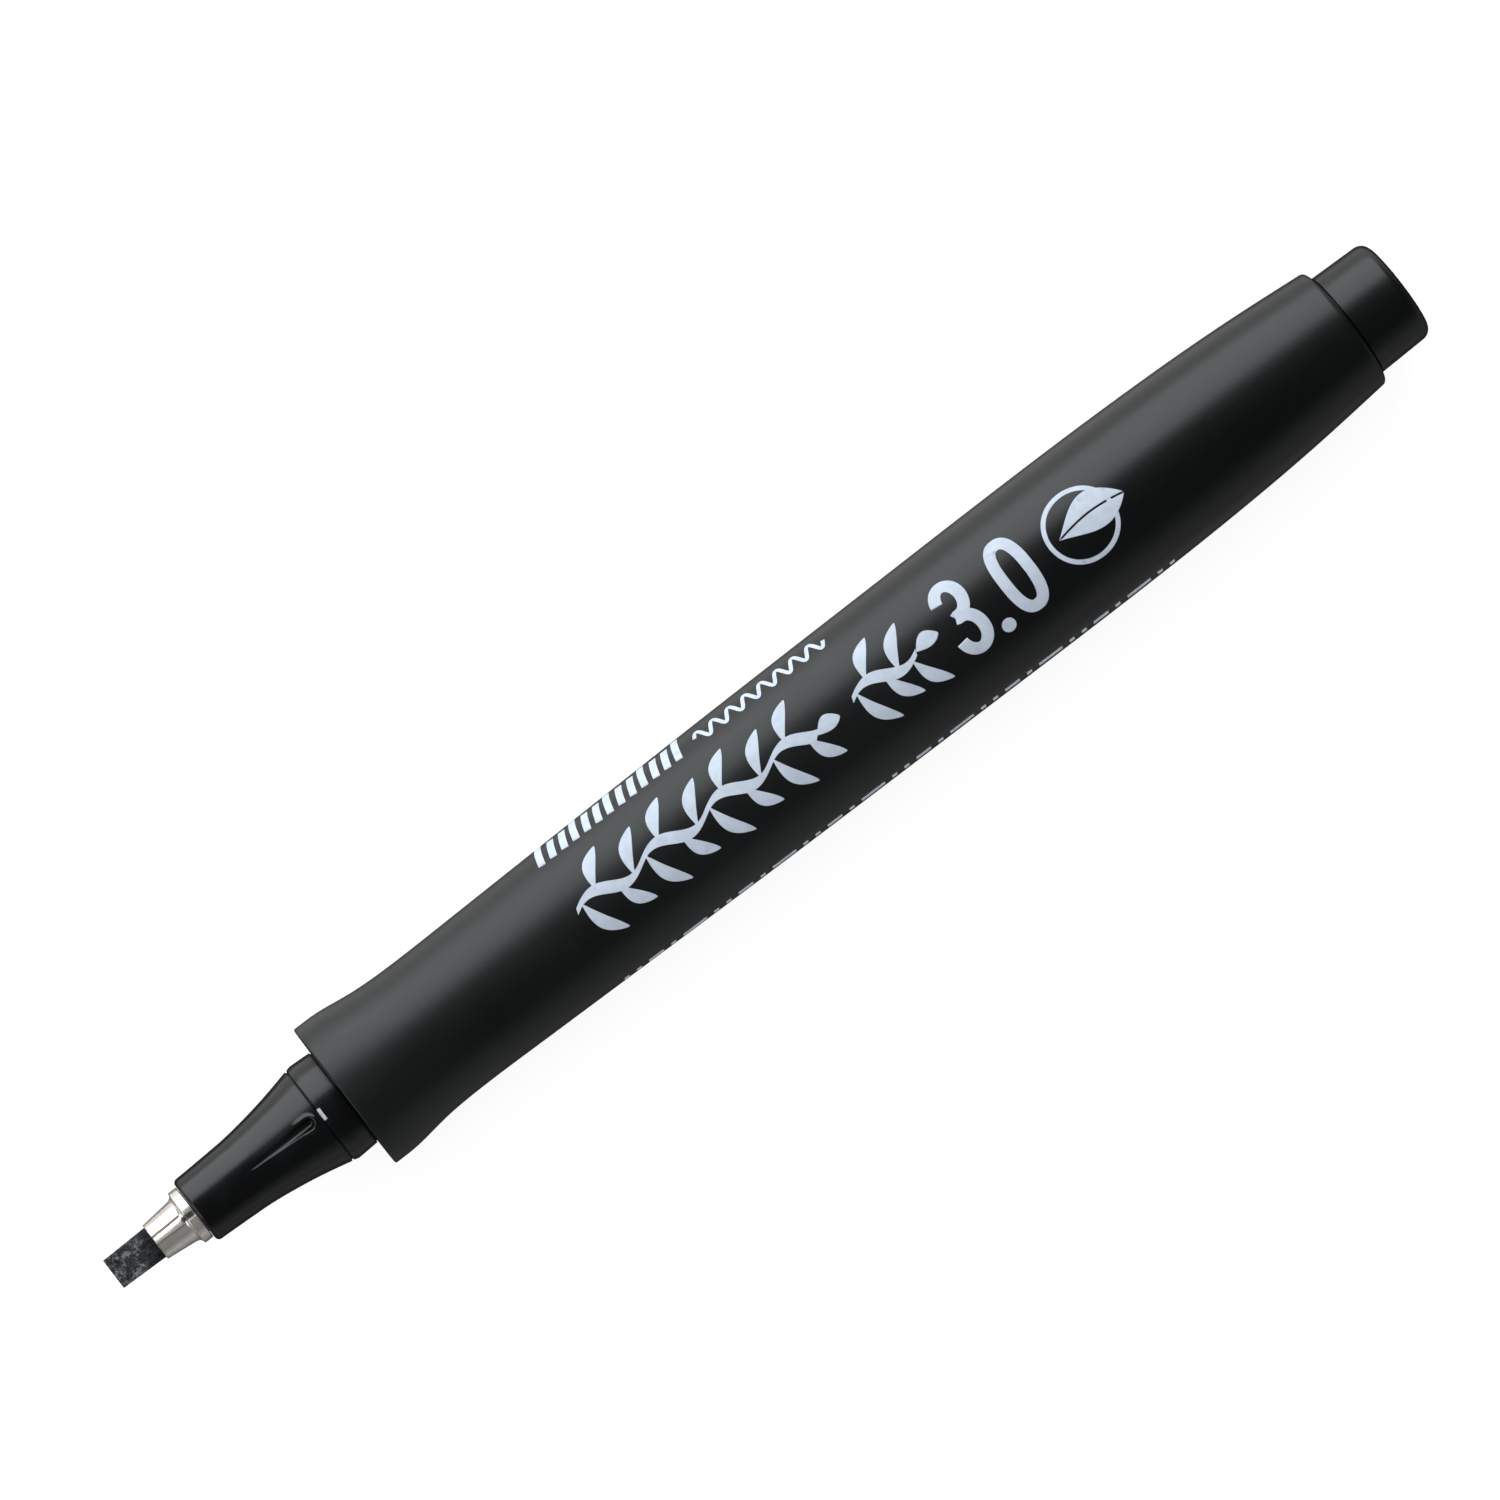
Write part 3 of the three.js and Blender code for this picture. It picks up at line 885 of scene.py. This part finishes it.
def drawn_round(grid, station, power, height):
    """Turns a lathed grid's circles into superellipses, round by the end of the ferrule's cone.

    A point at angle a moves to where |y|^n + |z|^n is its radius to the power n, and then z shrinks
    by the section's height over its width. Both n and that share go smoothly to 2 and 1.
    """
    roundness = ease(station / FERRULE["cone"])[..., None]
    power = power + (2 - power) * roundness
    height = height + (1 - height) * roundness
    angle = np.arctan2(grid[..., 2], grid[..., 1])
    reach = (np.abs(np.cos(angle)) ** power + np.abs(np.sin(angle)) ** power) ** (-1 / power)
    grid[..., 1] *= reach
    grid[..., 2] *= reach * height
    return grid


class MARKER_OT_nib_ferrule(bpy.types.Operator):
    """Build the metal ferrule: a cone from an oval mouth, a lapped seam, a split ring and a tube"""

    bl_idname = "marker.nib_ferrule"
    bl_label = "Nib Ferrule"

    def execute(self, context):
        look = context.scene.marker_ferrule
        nib = context.scene.marker_nib
        cone, ring, end = FERRULE["cone"], FERRULE["ring"], FERRULE_TUBE["end"]
        tube, wall = FERRULE_TUBE["radius"], FERRULE_TUBE["wall"]
        bore = nib.width / MM / 2 + 0.045
        turn = np.linspace(0, math.pi / 2, 9)
        flare = np.column_stack(
            [
                cone + (FERRULE["ring_start"] - cone) * np.sin(turn),
                ring - 0.12 + (FERRULE["root"] - ring + 0.12) * np.cos(turn),
            ]
        )
        taper = np.linspace(0.1, 0.97, 16)
        widening = FERRULE["root"] - FERRULE["mouth"]
        points = outline(
            (0, FERRULE["mouth"], 0.05),
            np.column_stack([taper * cone, FERRULE["mouth"] + taper * widening]),
            flare,
            (FERRULE["ring_start"] + 0.02, ring, 0.1),
            (FERRULE["ring_end"], ring, 0.1),
            (FERRULE["ring_end"], tube, 0.03),
            (end, tube, 0.08),
            (end, tube - wall, 0.05),
            (cone + 0.5, tube - wall, 0.1),
            np.column_stack([taper[::-1] * cone, np.full(16, bore)]),
            (0, bore, 0.04),
            spacing=0.6,
        )
        angles = around(192, (SEAM["from"], 0.05, 14), (SEAM["to"], 0.08, 22), (0.0, 0.14, 30))
        grid = lathe(points, angles)
        inner = points[:, 1] < bore + 0.01
        # The bore has the nib's section, and the outside a fuller oval.
        for part, power, height in (
            (inner, SQUARENESS, nib.thickness / nib.width),
            (~inner, 2, MOUTH_HEIGHT),
        ):
            grid[part] = drawn_round(grid[part], points[part, 0], power, height)
        # The sheet laps over itself on top: a sharp step up, then a slope back down to a crease.
        off = (angles + math.pi) % TURN - math.pi
        slope = np.clip((SEAM["to"] - off) / (SEAM["to"] - SEAM["from"]), 0, 1)
        lap = SEAM["step"] * slope * ease((off - SEAM["from"]) / 0.03 + 0.5)
        lap = lap - CREASE["depth"] * np.exp(-(((off - SEAM["to"]) / CREASE["half"]) ** 2))
        station, radius = points.T
        cone_only = (radius > bore + 0.1) & (station > 0.02) & (station < cone + 0.3)
        grid[..., 2] += lap * cone_only[:, None]
        gap = 1 - ease((np.abs(off - RING_GAP["middle"]) - RING_GAP["half"]) / 0.04 + 0.5)
        proud = np.clip((radius - 2.1) / 0.2, 0, 1) * (station > cone)
        grid[..., 2] -= RING_GAP["depth"] * gap * proud[:, None]
        piece = skin("ferrule_shell", [placed(grid, front("nib_ferrule"))], poles=False)
        metal = plated_metal("nickel_plate", look.colour, look.roughness)
        finished(piece, "nib_unit", "ferrule_metal", metal, "nib_ferrule")
        return {"FINISHED"}


class MARKER_OT_nib(bpy.types.Operator):
    """Build the chisel nib and the wick that feeds it"""

    bl_idname = "marker.nib"
    bl_label = "Nib and Wick"

    def execute(self, context):
        look = context.scene.marker_nib
        self.nib(look)
        self.wick()
        return {"FINISHED"}

    def nib(self, look):
        """A superellipse rod, tapered to its front, clipped by two planes to the chisel's edge.

        The clipped height is a smooth minimum of the rod's and the plane's,
        (a + b - sqrt((a - b)^2 + e^2)) / 2, which leaves the bevel's border slightly rounded. Cut
        fibres roughen the faces by a few microns and fray the edge.
        """
        half, tail, end = look.width / MM / 2, 1.5, 14.9
        taper = 0.94  # the edge's width over the ferrule end's
        root = (front("nib_ferrule") - front("nib")) / MM
        step = np.linspace(0.02, 1, 90)
        points = outline(
            (0, 0),
            (0, taper * half, 0.05),
            np.column_stack([step * root, half * (taper + (1 - taper) * step)]),
            flank([(root + 0.1, half), (root + 1.2, half), (root + FERRULE["cone"], tail)], 0.2),
            (end, tail, 0.3),
            (end, 0),
            closed=False,
        )
        angles = around(224)
        station, radius = points.T
        grid = lathe(points, angles)
        grid = drawn_round(grid, station - root, SQUARENESS, look.thickness / look.width)
        slope = (look.thickness - look.edge) / 2 / look.bevel
        plane = look.edge / MM / 2 + slope * station[:, None]
        height = np.abs(grid[..., 2])
        rounding = 0.02
        clipped = (height + plane - np.hypot(height - plane, rounding)) / 2
        clipped = np.where(station[:, None] < root, np.minimum(clipped, height), height)
        on_face = ease((height - clipped) / 0.05)
        along, across = grid[..., 0], grid[..., 1]
        fibres = np.sin(across * 41 + 2 * np.sin(along * 1.7)) * np.sin(across * 17 + 1)
        clipped = clipped - on_face * (0.006 * fibres + 0.006)
        grid[..., 2] = np.sign(grid[..., 2]) * np.maximum(clipped, 0)
        frayed = 0.035 * np.abs(np.sin(angles * 23) * np.sin(angles * 9 + 1))
        near_edge = (1 - ease(station / 0.25)) * (radius > 0)
        grid[..., 0] += frayed * near_edge[:, None]
        piece = skin("nib_chisel", [placed(grid, front("nib"))], poles=True)
        bevel_end = (front("nib") + look.bevel) / MM
        fibre = bonded_fibre("nib_fibre", look.dark, look.light, 0.09, cut_until=bevel_end + 0.5)
        finished(piece, "nib_unit", "nib_fibre", fibre, "nib")

    def wick(self):
        """A round rod with a pointed tail."""
        radius, point = 1.4, 1.0
        end = (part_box("feed_wick")[1].x - front("feed_wick")) / MM
        points = outline(
            (0, 0),
            (0, radius, 0.08),
            (end - point, radius, 0.3),
            (end, 0.4, 0.2),
            (end, 0),
            closed=False,
        )
        grid = lathe(points, around(64))
        piece = skin("wick_rod", [placed(grid, front("feed_wick"))], poles=True)
        fibre = bonded_fibre("wick_fibre", (0.02, 0.02, 0.026), (0.09, 0.09, 0.11), 0.12)
        finished(piece, "nib_unit", "wick_fibre", fibre, "feed_wick")


class MARKER_OT_reservoir(bpy.types.Operator):
    """Build the ink reservoir: a fibre core with a pocket for the wick, in a clear film"""

    bl_idname = "marker.reservoir"
    bl_label = "Ink Reservoir"

    def execute(self, context):
        core = (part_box("reservoir_core")[1].x - front("reservoir_core")) / MM
        film = (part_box("reservoir_film")[1].x - front("reservoir_film")) / MM
        pocket, pocket_end, core_radius = 1.55, 9.4, 3.95
        inner, outer = 4.0, 4.15
        points = outline(
            (pocket_end, 0),
            (pocket_end - 1, pocket, 0.3),
            (0, pocket, 0.15),
            (0, core_radius, 0.2),
            (core, core_radius, 0.2),
            (core, 0),
            closed=False,
            spacing=3,
        )
        grid = lathe(points, around(72))
        piece = skin("reservoir_bundle", [placed(grid, front("reservoir_core"))], poles=True)
        fibre = bonded_fibre("reservoir_fibre", (0.01, 0.01, 0.016), (0.05, 0.05, 0.075), 0.2)
        finished(piece, "barrel", "reservoir_fibre", fibre, "reservoir_core")
        ring = [(0, inner), (0, outer), (film, outer), (film, inner)]
        points = outline(*[(*corner, 0.05) for corner in ring], spacing=3)
        # The film's crimped seam shows as twelve shallow flutes.
        angles = around(144)
        grid = lathe(points, angles)
        grid[..., 1:] *= (1 - 0.004 * (1 + np.cos(angles * 12)))[:, None]
        piece = skin("reservoir_wrap", [placed(grid, front("reservoir_film"))], poles=False)
        clear = clear_wrap("clear_film", (0.7, 0.74, 0.78), 0.35)
        finished(piece, "barrel", "reservoir_film", clear, "reservoir_film")
        return {"FINISHED"}


# ---- Print -------------------------------------------------------------------------------------

PRINT_MIDDLE = 0.38  # how far towards +Y the middle of the print lies


def on_barrel(along, across, lift):
    """Points laid on the barrel: along is a station from the nib's tip, across an arc from the top
    towards +Y, and lift a height above the surface, all in millimetres."""
    station = along - (front("barrel") - front("nib")) / MM
    radius = barrel_radius(station)
    angle, height = across / radius, radius + lift
    return np.stack([along, height * np.sin(angle), height * np.cos(angle)], axis=-1)


def band(left, right, lift, loop=False):
    """A thin closed shell on the barrel between two edges, each an array of points (along, across).

    Its top is lift above the surface, its underside is just below it, and unless it loops round,
    its two ends come together into points.
    """
    share = np.array([0, 0.03, 0.2, 0.4, 0.6, 0.8, 0.97, 1])[:, None]
    top = left[:, None] * (1 - share) + right[:, None] * share
    flat = np.concatenate([top, top[:, ::-1]], axis=1)
    lift = np.broadcast_to(np.reshape(lift, (-1, 1)), (len(left), len(share)))
    heights = np.concatenate([lift, np.full_like(lift, -0.05)], axis=1)
    grid = on_barrel(flat[..., 0], flat[..., 1], heights)
    if loop:
        return grid
    ends = [grid[k].mean(axis=0) + np.zeros_like(grid[:1]) for k in (0, -1)]
    return np.concatenate([ends[0], grid, ends[1]])


def pen_stroke(path, pen, lift, loop=False):
    """The band that an oval pen of (width, edge, angle) leaves along a path.

    Where the path's left normal in the pen's own axes is (p, q), the band's edges lie to each side
    of the path by (w^2 p, e^2 q) / sqrt(w^2 p^2 + e^2 q^2) / 2.
    """
    path = np.asarray(path, float)
    ahead = np.gradient(path, axis=0)
    if loop:
        ahead = np.roll(path, -1, axis=0) - np.roll(path, 1, axis=0)
    width, edge, angle = pen
    c, s = math.cos(angle), math.sin(angle)
    p = ahead[:, 0] * s - ahead[:, 1] * c
    q = ahead[:, 0] * c + ahead[:, 1] * s
    size = 2 * np.maximum(np.hypot(width * p, edge * q), 1e-9)
    own = np.stack([width**2 * p / size, edge**2 * q / size], axis=-1)
    offset = np.stack([own[:, 0] * c - own[:, 1] * s, own[:, 0] * s + own[:, 1] * c], axis=-1)
    return band(path + offset, path - offset, lift, loop)


def line(start, end, width):
    """A straight band of even width."""
    share = np.linspace(0, 1, 12)[:, None]
    path = np.array(start) * (1 - share) + np.array(end) * share
    return pen_stroke(path, (width, width, 0), 0.012)


def arc(centre, radii, start, end, count=48, power=2):
    """Part of an ellipse, or of a squarer oval, from one angle to another in degrees."""
    a = np.radians(np.linspace(start, end, count))
    c, s = np.cos(a), np.sin(a)
    across = np.sign(c) * np.abs(c) ** (2 / power)
    up = np.sign(s) * np.abs(s) ** (2 / power)
    return np.column_stack([centre[0] + radii[0] * across, centre[1] + radii[1] * up])


def leaf(base, tip, half, lift=0.018, bend=0.1):
    """A pointed leaf, half wide to each side of a line from base to tip, bent by a share of it."""
    share = np.linspace(0.01, 0.99, 30)[:, None]
    run = np.subtract(tip, base)
    side = np.array([-run[1], run[0]])
    middle = base + run * share + side * bend * np.sin(math.pi * share)
    width = side / np.hypot(*run) * half * np.sin(math.pi * share**1.15) ** 0.8
    return band(middle + width, middle - width, lift)


class MARKER_OT_print(bpy.types.Operator):
    """Build the print on the barrel: two leafy sprays, the nib's size, a ring and two fine rows"""

    bl_idname = "marker.print"
    bl_label = "Print"

    def execute(self, context):
        look = context.scene.marker_print
        self.pen = (look.pen_width / MM, look.pen_edge / MM, look.pen_angle)
        self.ink = printed_ink("printed_ink", look.colour)
        self.add("print_sprays", self.spray(47.9, 72.2, 15) + self.spray(76.2, 82.7, 5), poles=True)
        self.add("print_size", self.size(), poles=True)
        zero = self.closed((93.05, PRINT_MIDDLE), (1.22, 3.08), 1.06, 2.5)
        self.add("print_size_zero", [zero], poles=False)
        ring = self.closed((99.7, PRINT_MIDDLE), (3.08, 3.08), 0.42, 2)
        self.add("print_ring", [ring], poles=False)
        self.add("print_leaf", self.split_leaf(), poles=True)
        self.add("print_upper_row", self.upper_row(), poles=True)
        self.add("print_lower_row", self.lower_row(), poles=True)
        return {"FINISHED"}

    def add(self, name, grids, poles):
        """One printed piece from its bands."""
        piece = skin(name, [placed(g, front("nib")) for g in grids], poles)
        finished(piece, "barrel", "barrel_print", self.ink)

    def spray(self, start, end, count):
        """A stem drawn in a wave by the broad pen, with leaves to both sides and one at its end."""
        sway, wave, per_leaf = 0.6, 6.6, 20
        along = np.linspace(start, end, per_leaf * count)
        across = PRINT_MIDDLE + sway * np.sin((along - start) * TURN / wave)
        stem = np.column_stack([along, across])
        bands = [pen_stroke(stem, self.pen, 0.013)]
        for k in range(count):
            base = stem[per_leaf * k + 8]
            side = 1 if k % 2 else -1
            reach = 3.7 if k % 4 < 2 else 3.1
            tip = (base[0] + 2.1, PRINT_MIDDLE + side * reach)
            bands.append(leaf(base, tip, 0.56, lift=0.018 if k % 2 else 0.022, bend=0.12 * side))
        bands.append(leaf(stem[-1], (end + 2.4, stem[-1, 1] + 0.2), 0.7))
        return bands

    def size(self):
        """A plain 3 in two round strokes, and a point."""
        pen = (1.06, 1.0, 0)
        upper = arc((87.35, 2.02), (1.08, 1.42), 172, -90)
        lower = arc((87.35, -1.14), (1.16, 1.54), 90, -172)
        waist = (86.9, 0.5)
        turn = np.linspace(math.pi - 0.05, 0.05, 24)
        half_round = np.column_stack([0.62 * np.cos(turn), 0.62 * np.sin(turn)])
        middle = (90.1, -2.62)
        return [
            pen_stroke(np.vstack([upper, [(87.15, 0.6), waist]]), pen, 0.014),
            pen_stroke(np.vstack([[waist, (87.15, 0.4)], lower]), pen, 0.018),
            band(half_round + middle, half_round * (1, -1) + middle, 0.014),
        ]

    def closed(self, centre, radii, width, power):
        """A closed oval of even thickness."""
        path = arc(centre, radii, 0, 357, 120, power)
        return pen_stroke(path, (width, width * 0.94, math.pi / 2), 0.014, loop=True)

    def split_leaf(self):
        """The two halves of a leaf that lies across the ring, with a bare line between them."""
        share = np.linspace(0.01, 0.99, 40)
        along = 97.45 + 6.7 * share
        half = 1.7 * np.sin(math.pi * share**1.25) ** 0.9
        middle = PRINT_MIDDLE + 0.4 * np.sin(math.pi * share)
        halves = []
        for side in (1, -1):
            inner = np.column_stack([along, middle + side * np.minimum(0.09, half / 2)])
            outer = np.column_stack([along, middle + side * half])
            halves.append(band(inner, outer, 0.019))
        return halves

    def upper_row(self):
        """A row of bold slanted bars, every third one taller, then a fine wave."""
        first, pitch, foot, lean, width = 48.0, 1.18, 5.85, 0.66, 0.66
        bars = []
        for k in range(13):
            top = 8.9 if k % 3 else 9.6
            along = first + pitch * k
            bars.append(line((along, foot), (along + lean, top), width))
        along = np.linspace(64.2, 77.4, 320)
        wave = np.column_stack([along, 6.85 + 0.8 * np.sin((along - along[0]) * TURN / 1.65)])
        return [*bars, pen_stroke(wave, (0.36, 0.36, 0), 0.012)]

    def lower_row(self):
        """A fine row of short and long dashes."""
        across, first, last, gap = -9.0, 47.8, 105.8, 0.75
        dashes = np.array((0.5, 0.5, 1.5, 0.5, 2.4))
        runs = dashes[np.arange(62) % len(dashes)]
        along = first + np.concatenate([[0], np.cumsum(runs[:-1] + gap)])
        dashed = [(x, run) for x, run in zip(along, runs) if x + run < last]
        return [line((x, across), (x + run, across), 0.7) for x, run in dashed]


# ---- Stage -------------------------------------------------------------------------------------


class MARKER_OT_stage(bpy.types.Operator):
    """Lay the floor, hang the soft lights and set the camera"""

    bl_idname = "marker.stage"
    bl_label = "Stage"

    def execute(self, context):
        look = context.scene.marker_stage
        cool = (0.93, 0.98, 1.0)
        self.floor(look)
        self.light("key_light", (0, 63.5, 0.75), (1.5, 0.87), look.key, cool)
        self.light("fill_light", (0, -88, 0.7), (1.2, 0.4), look.fill * 0.8, cool)
        self.light("front_light", (-72, 0, 0.8), (0.25, 0.6), look.fill * 12, cool)
        overhead = self.light("top_light", (0, 0, 1.25), (2, 2), look.top, (1, 1, 1))
        overhead.visible_glossy = False
        self.bounce("key_bounce", 1, look.key * 0.3)
        self.bounce("fill_bounce", -1, look.fill * 0.8)
        self.world(context)
        self.camera(context, look)
        return {"FINISHED"}

    def floor(self, look):
        """A plain pale floor just under the barrel, which gives off light of its own."""
        half = 3.0
        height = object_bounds()[0][2] - 0.00002
        square = [(-half, -half), (half, -half), (half, half), (-half, half)]
        floor = mesh_object("floor", [(x, y, height) for x, y in square], [(0, 1, 2, 3)])
        pale = glowing("pale_floor", look.floor, look.glow, Roughness=0.9, Specular_IOR_Level=0.1)
        floor.data.materials.append(pale)
        floor.visible_glossy = False
        floor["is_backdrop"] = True
        self.backdrop(half, height)

    def backdrop(self, half, height):
        """A pale drum round the floor, seen only by the camera, so that it lights nothing."""
        sides = 64
        turn = np.arange(sides) * TURN / sides
        rim = np.column_stack([half * np.cos(turn), half * np.sin(turn)])
        points = [(x, y, height + up) for up in (0, 2 * half) for x, y in rim]
        faces = [(k, (k + 1) % sides, sides + (k + 1) % sides, sides + k) for k in range(sides)]
        drum = mesh_object("backdrop", points, faces)
        pale = glowing("pale_backdrop", (0, 0, 0), 1.0, Specular_IOR_Level=0.0)
        drum.data.materials.append(pale)
        for ray in ("diffuse", "glossy", "transmission", "shadow"):
            setattr(drum, "visible_" + ray, False)
        drum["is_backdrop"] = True

    def light(self, name, place, size, radiance, colour):
        """A soft rectangle of even radiance aimed at the marker.

        place is (lean towards +X, lean towards +Y, distance): degrees from straight up, and metres.
        """
        data = bpy.data.lights.new(name, "AREA")
        data.shape = "RECTANGLE"
        data.size, data.size_y = size
        data.energy = radiance * math.pi * size[0] * size[1]
        data.color = colour
        lamp = linked(name, data)
        turn = Euler((-math.radians(place[1]), math.radians(place[0]), 0)).to_matrix()
        lamp.location = turn @ Vector((0, 0, place[2])) + Vector((0, 0, AXIS))
        lamp.rotation_euler = turn.to_euler()
        lamp.visible_camera = False
        return lamp

    def bounce(self, name, side, radiance):
        """Light from the floor on one side of the marker: a strip that lies on it and faces up."""
        near, far, width = 0.011, 0.5, 1.2
        lamp = self.light(name, (0, 0, 0), (width, far - near), radiance, (1, 1, 1))
        lamp.location = (0, side * (near + far) / 2, 0.0004)
        lamp.rotation_euler = (math.pi, 0, 0)

    def world(self, context):
        """An even, dim surround."""
        world = bpy.data.worlds.new("surround")
        world.use_nodes = True
        background = world.node_tree.nodes["Background"]
        background.inputs["Color"].default_value = (0.05, 0.052, 0.055, 1)
        context.scene.world = world

    def camera(self, context, look):
        """A long lens above the barrel's front rim, aimed just beside the middle of the marker."""
        data = bpy.data.cameras.new("camera")
        data.sensor_width = 36
        data.lens = data.sensor_width * look.distance / look.field
        data.clip_start, data.clip_end = 0.01, 10
        camera = linked("camera", data)
        aim = Vector((0.00092, 0.00226, AXIS))
        eye = Vector((-0.055, 0, AXIS + look.distance))
        back = (eye - aim).normalized()
        up = Vector((math.sin(look.roll), math.cos(look.roll), 0))
        right = up.cross(back).normalized()
        turn = Matrix((right, back.cross(right), back)).transposed()
        camera.matrix_world = Matrix.Translation(eye) @ turn.to_4x4()
        context.scene.camera = camera
        context.scene.view_settings.view_transform = "Standard"


class VIEW3D_PT_marker(bpy.types.Panel):
    """Sidebar panel with each piece's settings and the buttons that build it."""

    bl_label = "Calligraphy Marker"
    bl_space_type = "VIEW_3D"
    bl_region_type = "UI"
    bl_category = "Marker"

    def draw(self, context):
        for setting, _, operators in STEPS:
            box = self.layout.box()
            look = getattr(context.scene, setting)
            for name in look.bl_rna.properties.keys():
                if name not in {"rna_type", "name"}:
                    box.prop(look, name)
            for operator in operators:
                box.operator(operator.bl_idname)


# The settings' name on the scene, their group, and the operators that read them, in building order.
STEPS = [
    (
        "marker_barrel",
        MarkerBarrelLook,
        [MARKER_OT_barrel, MARKER_OT_end_plug, MARKER_OT_reservoir],
    ),
    ("marker_holder", MarkerHolderLook, [MARKER_OT_nib_holder]),
    ("marker_ferrule", MarkerFerruleLook, [MARKER_OT_nib_ferrule]),
    ("marker_nib", MarkerNibLook, [MARKER_OT_nib]),
    ("marker_print", MarkerPrintLook, [MARKER_OT_print]),
    ("marker_stage", MarkerStageLook, [MARKER_OT_stage]),
]
OPERATORS = [operator for *_, operators in STEPS for operator in operators]
CLASSES = [*(group for _, group, _ in STEPS), *OPERATORS, VIEW3D_PT_marker]


def register():
    """Registers the classes, and hangs their settings on the scene."""
    for cls in CLASSES:
        bpy.utils.register_class(cls)
    for setting, group, _ in STEPS:
        setattr(bpy.types.Scene, setting, PointerProperty(type=group))


def unregister():
    """Takes the settings and the classes away again."""
    for setting, *_ in STEPS:
        delattr(bpy.types.Scene, setting)
    for cls in reversed(CLASSES):
        bpy.utils.unregister_class(cls)


def corners(box):
    """A box as plain lists of numbers."""
    return [[float(v) for v in corner] for corner in box]


def main():
    """Builds every piece and the stage."""
    register()
    for operator in OPERATORS:
        getattr(bpy.ops.marker, operator.bl_idname.split(".")[1])()


if __name__ == "__main__":
    main()
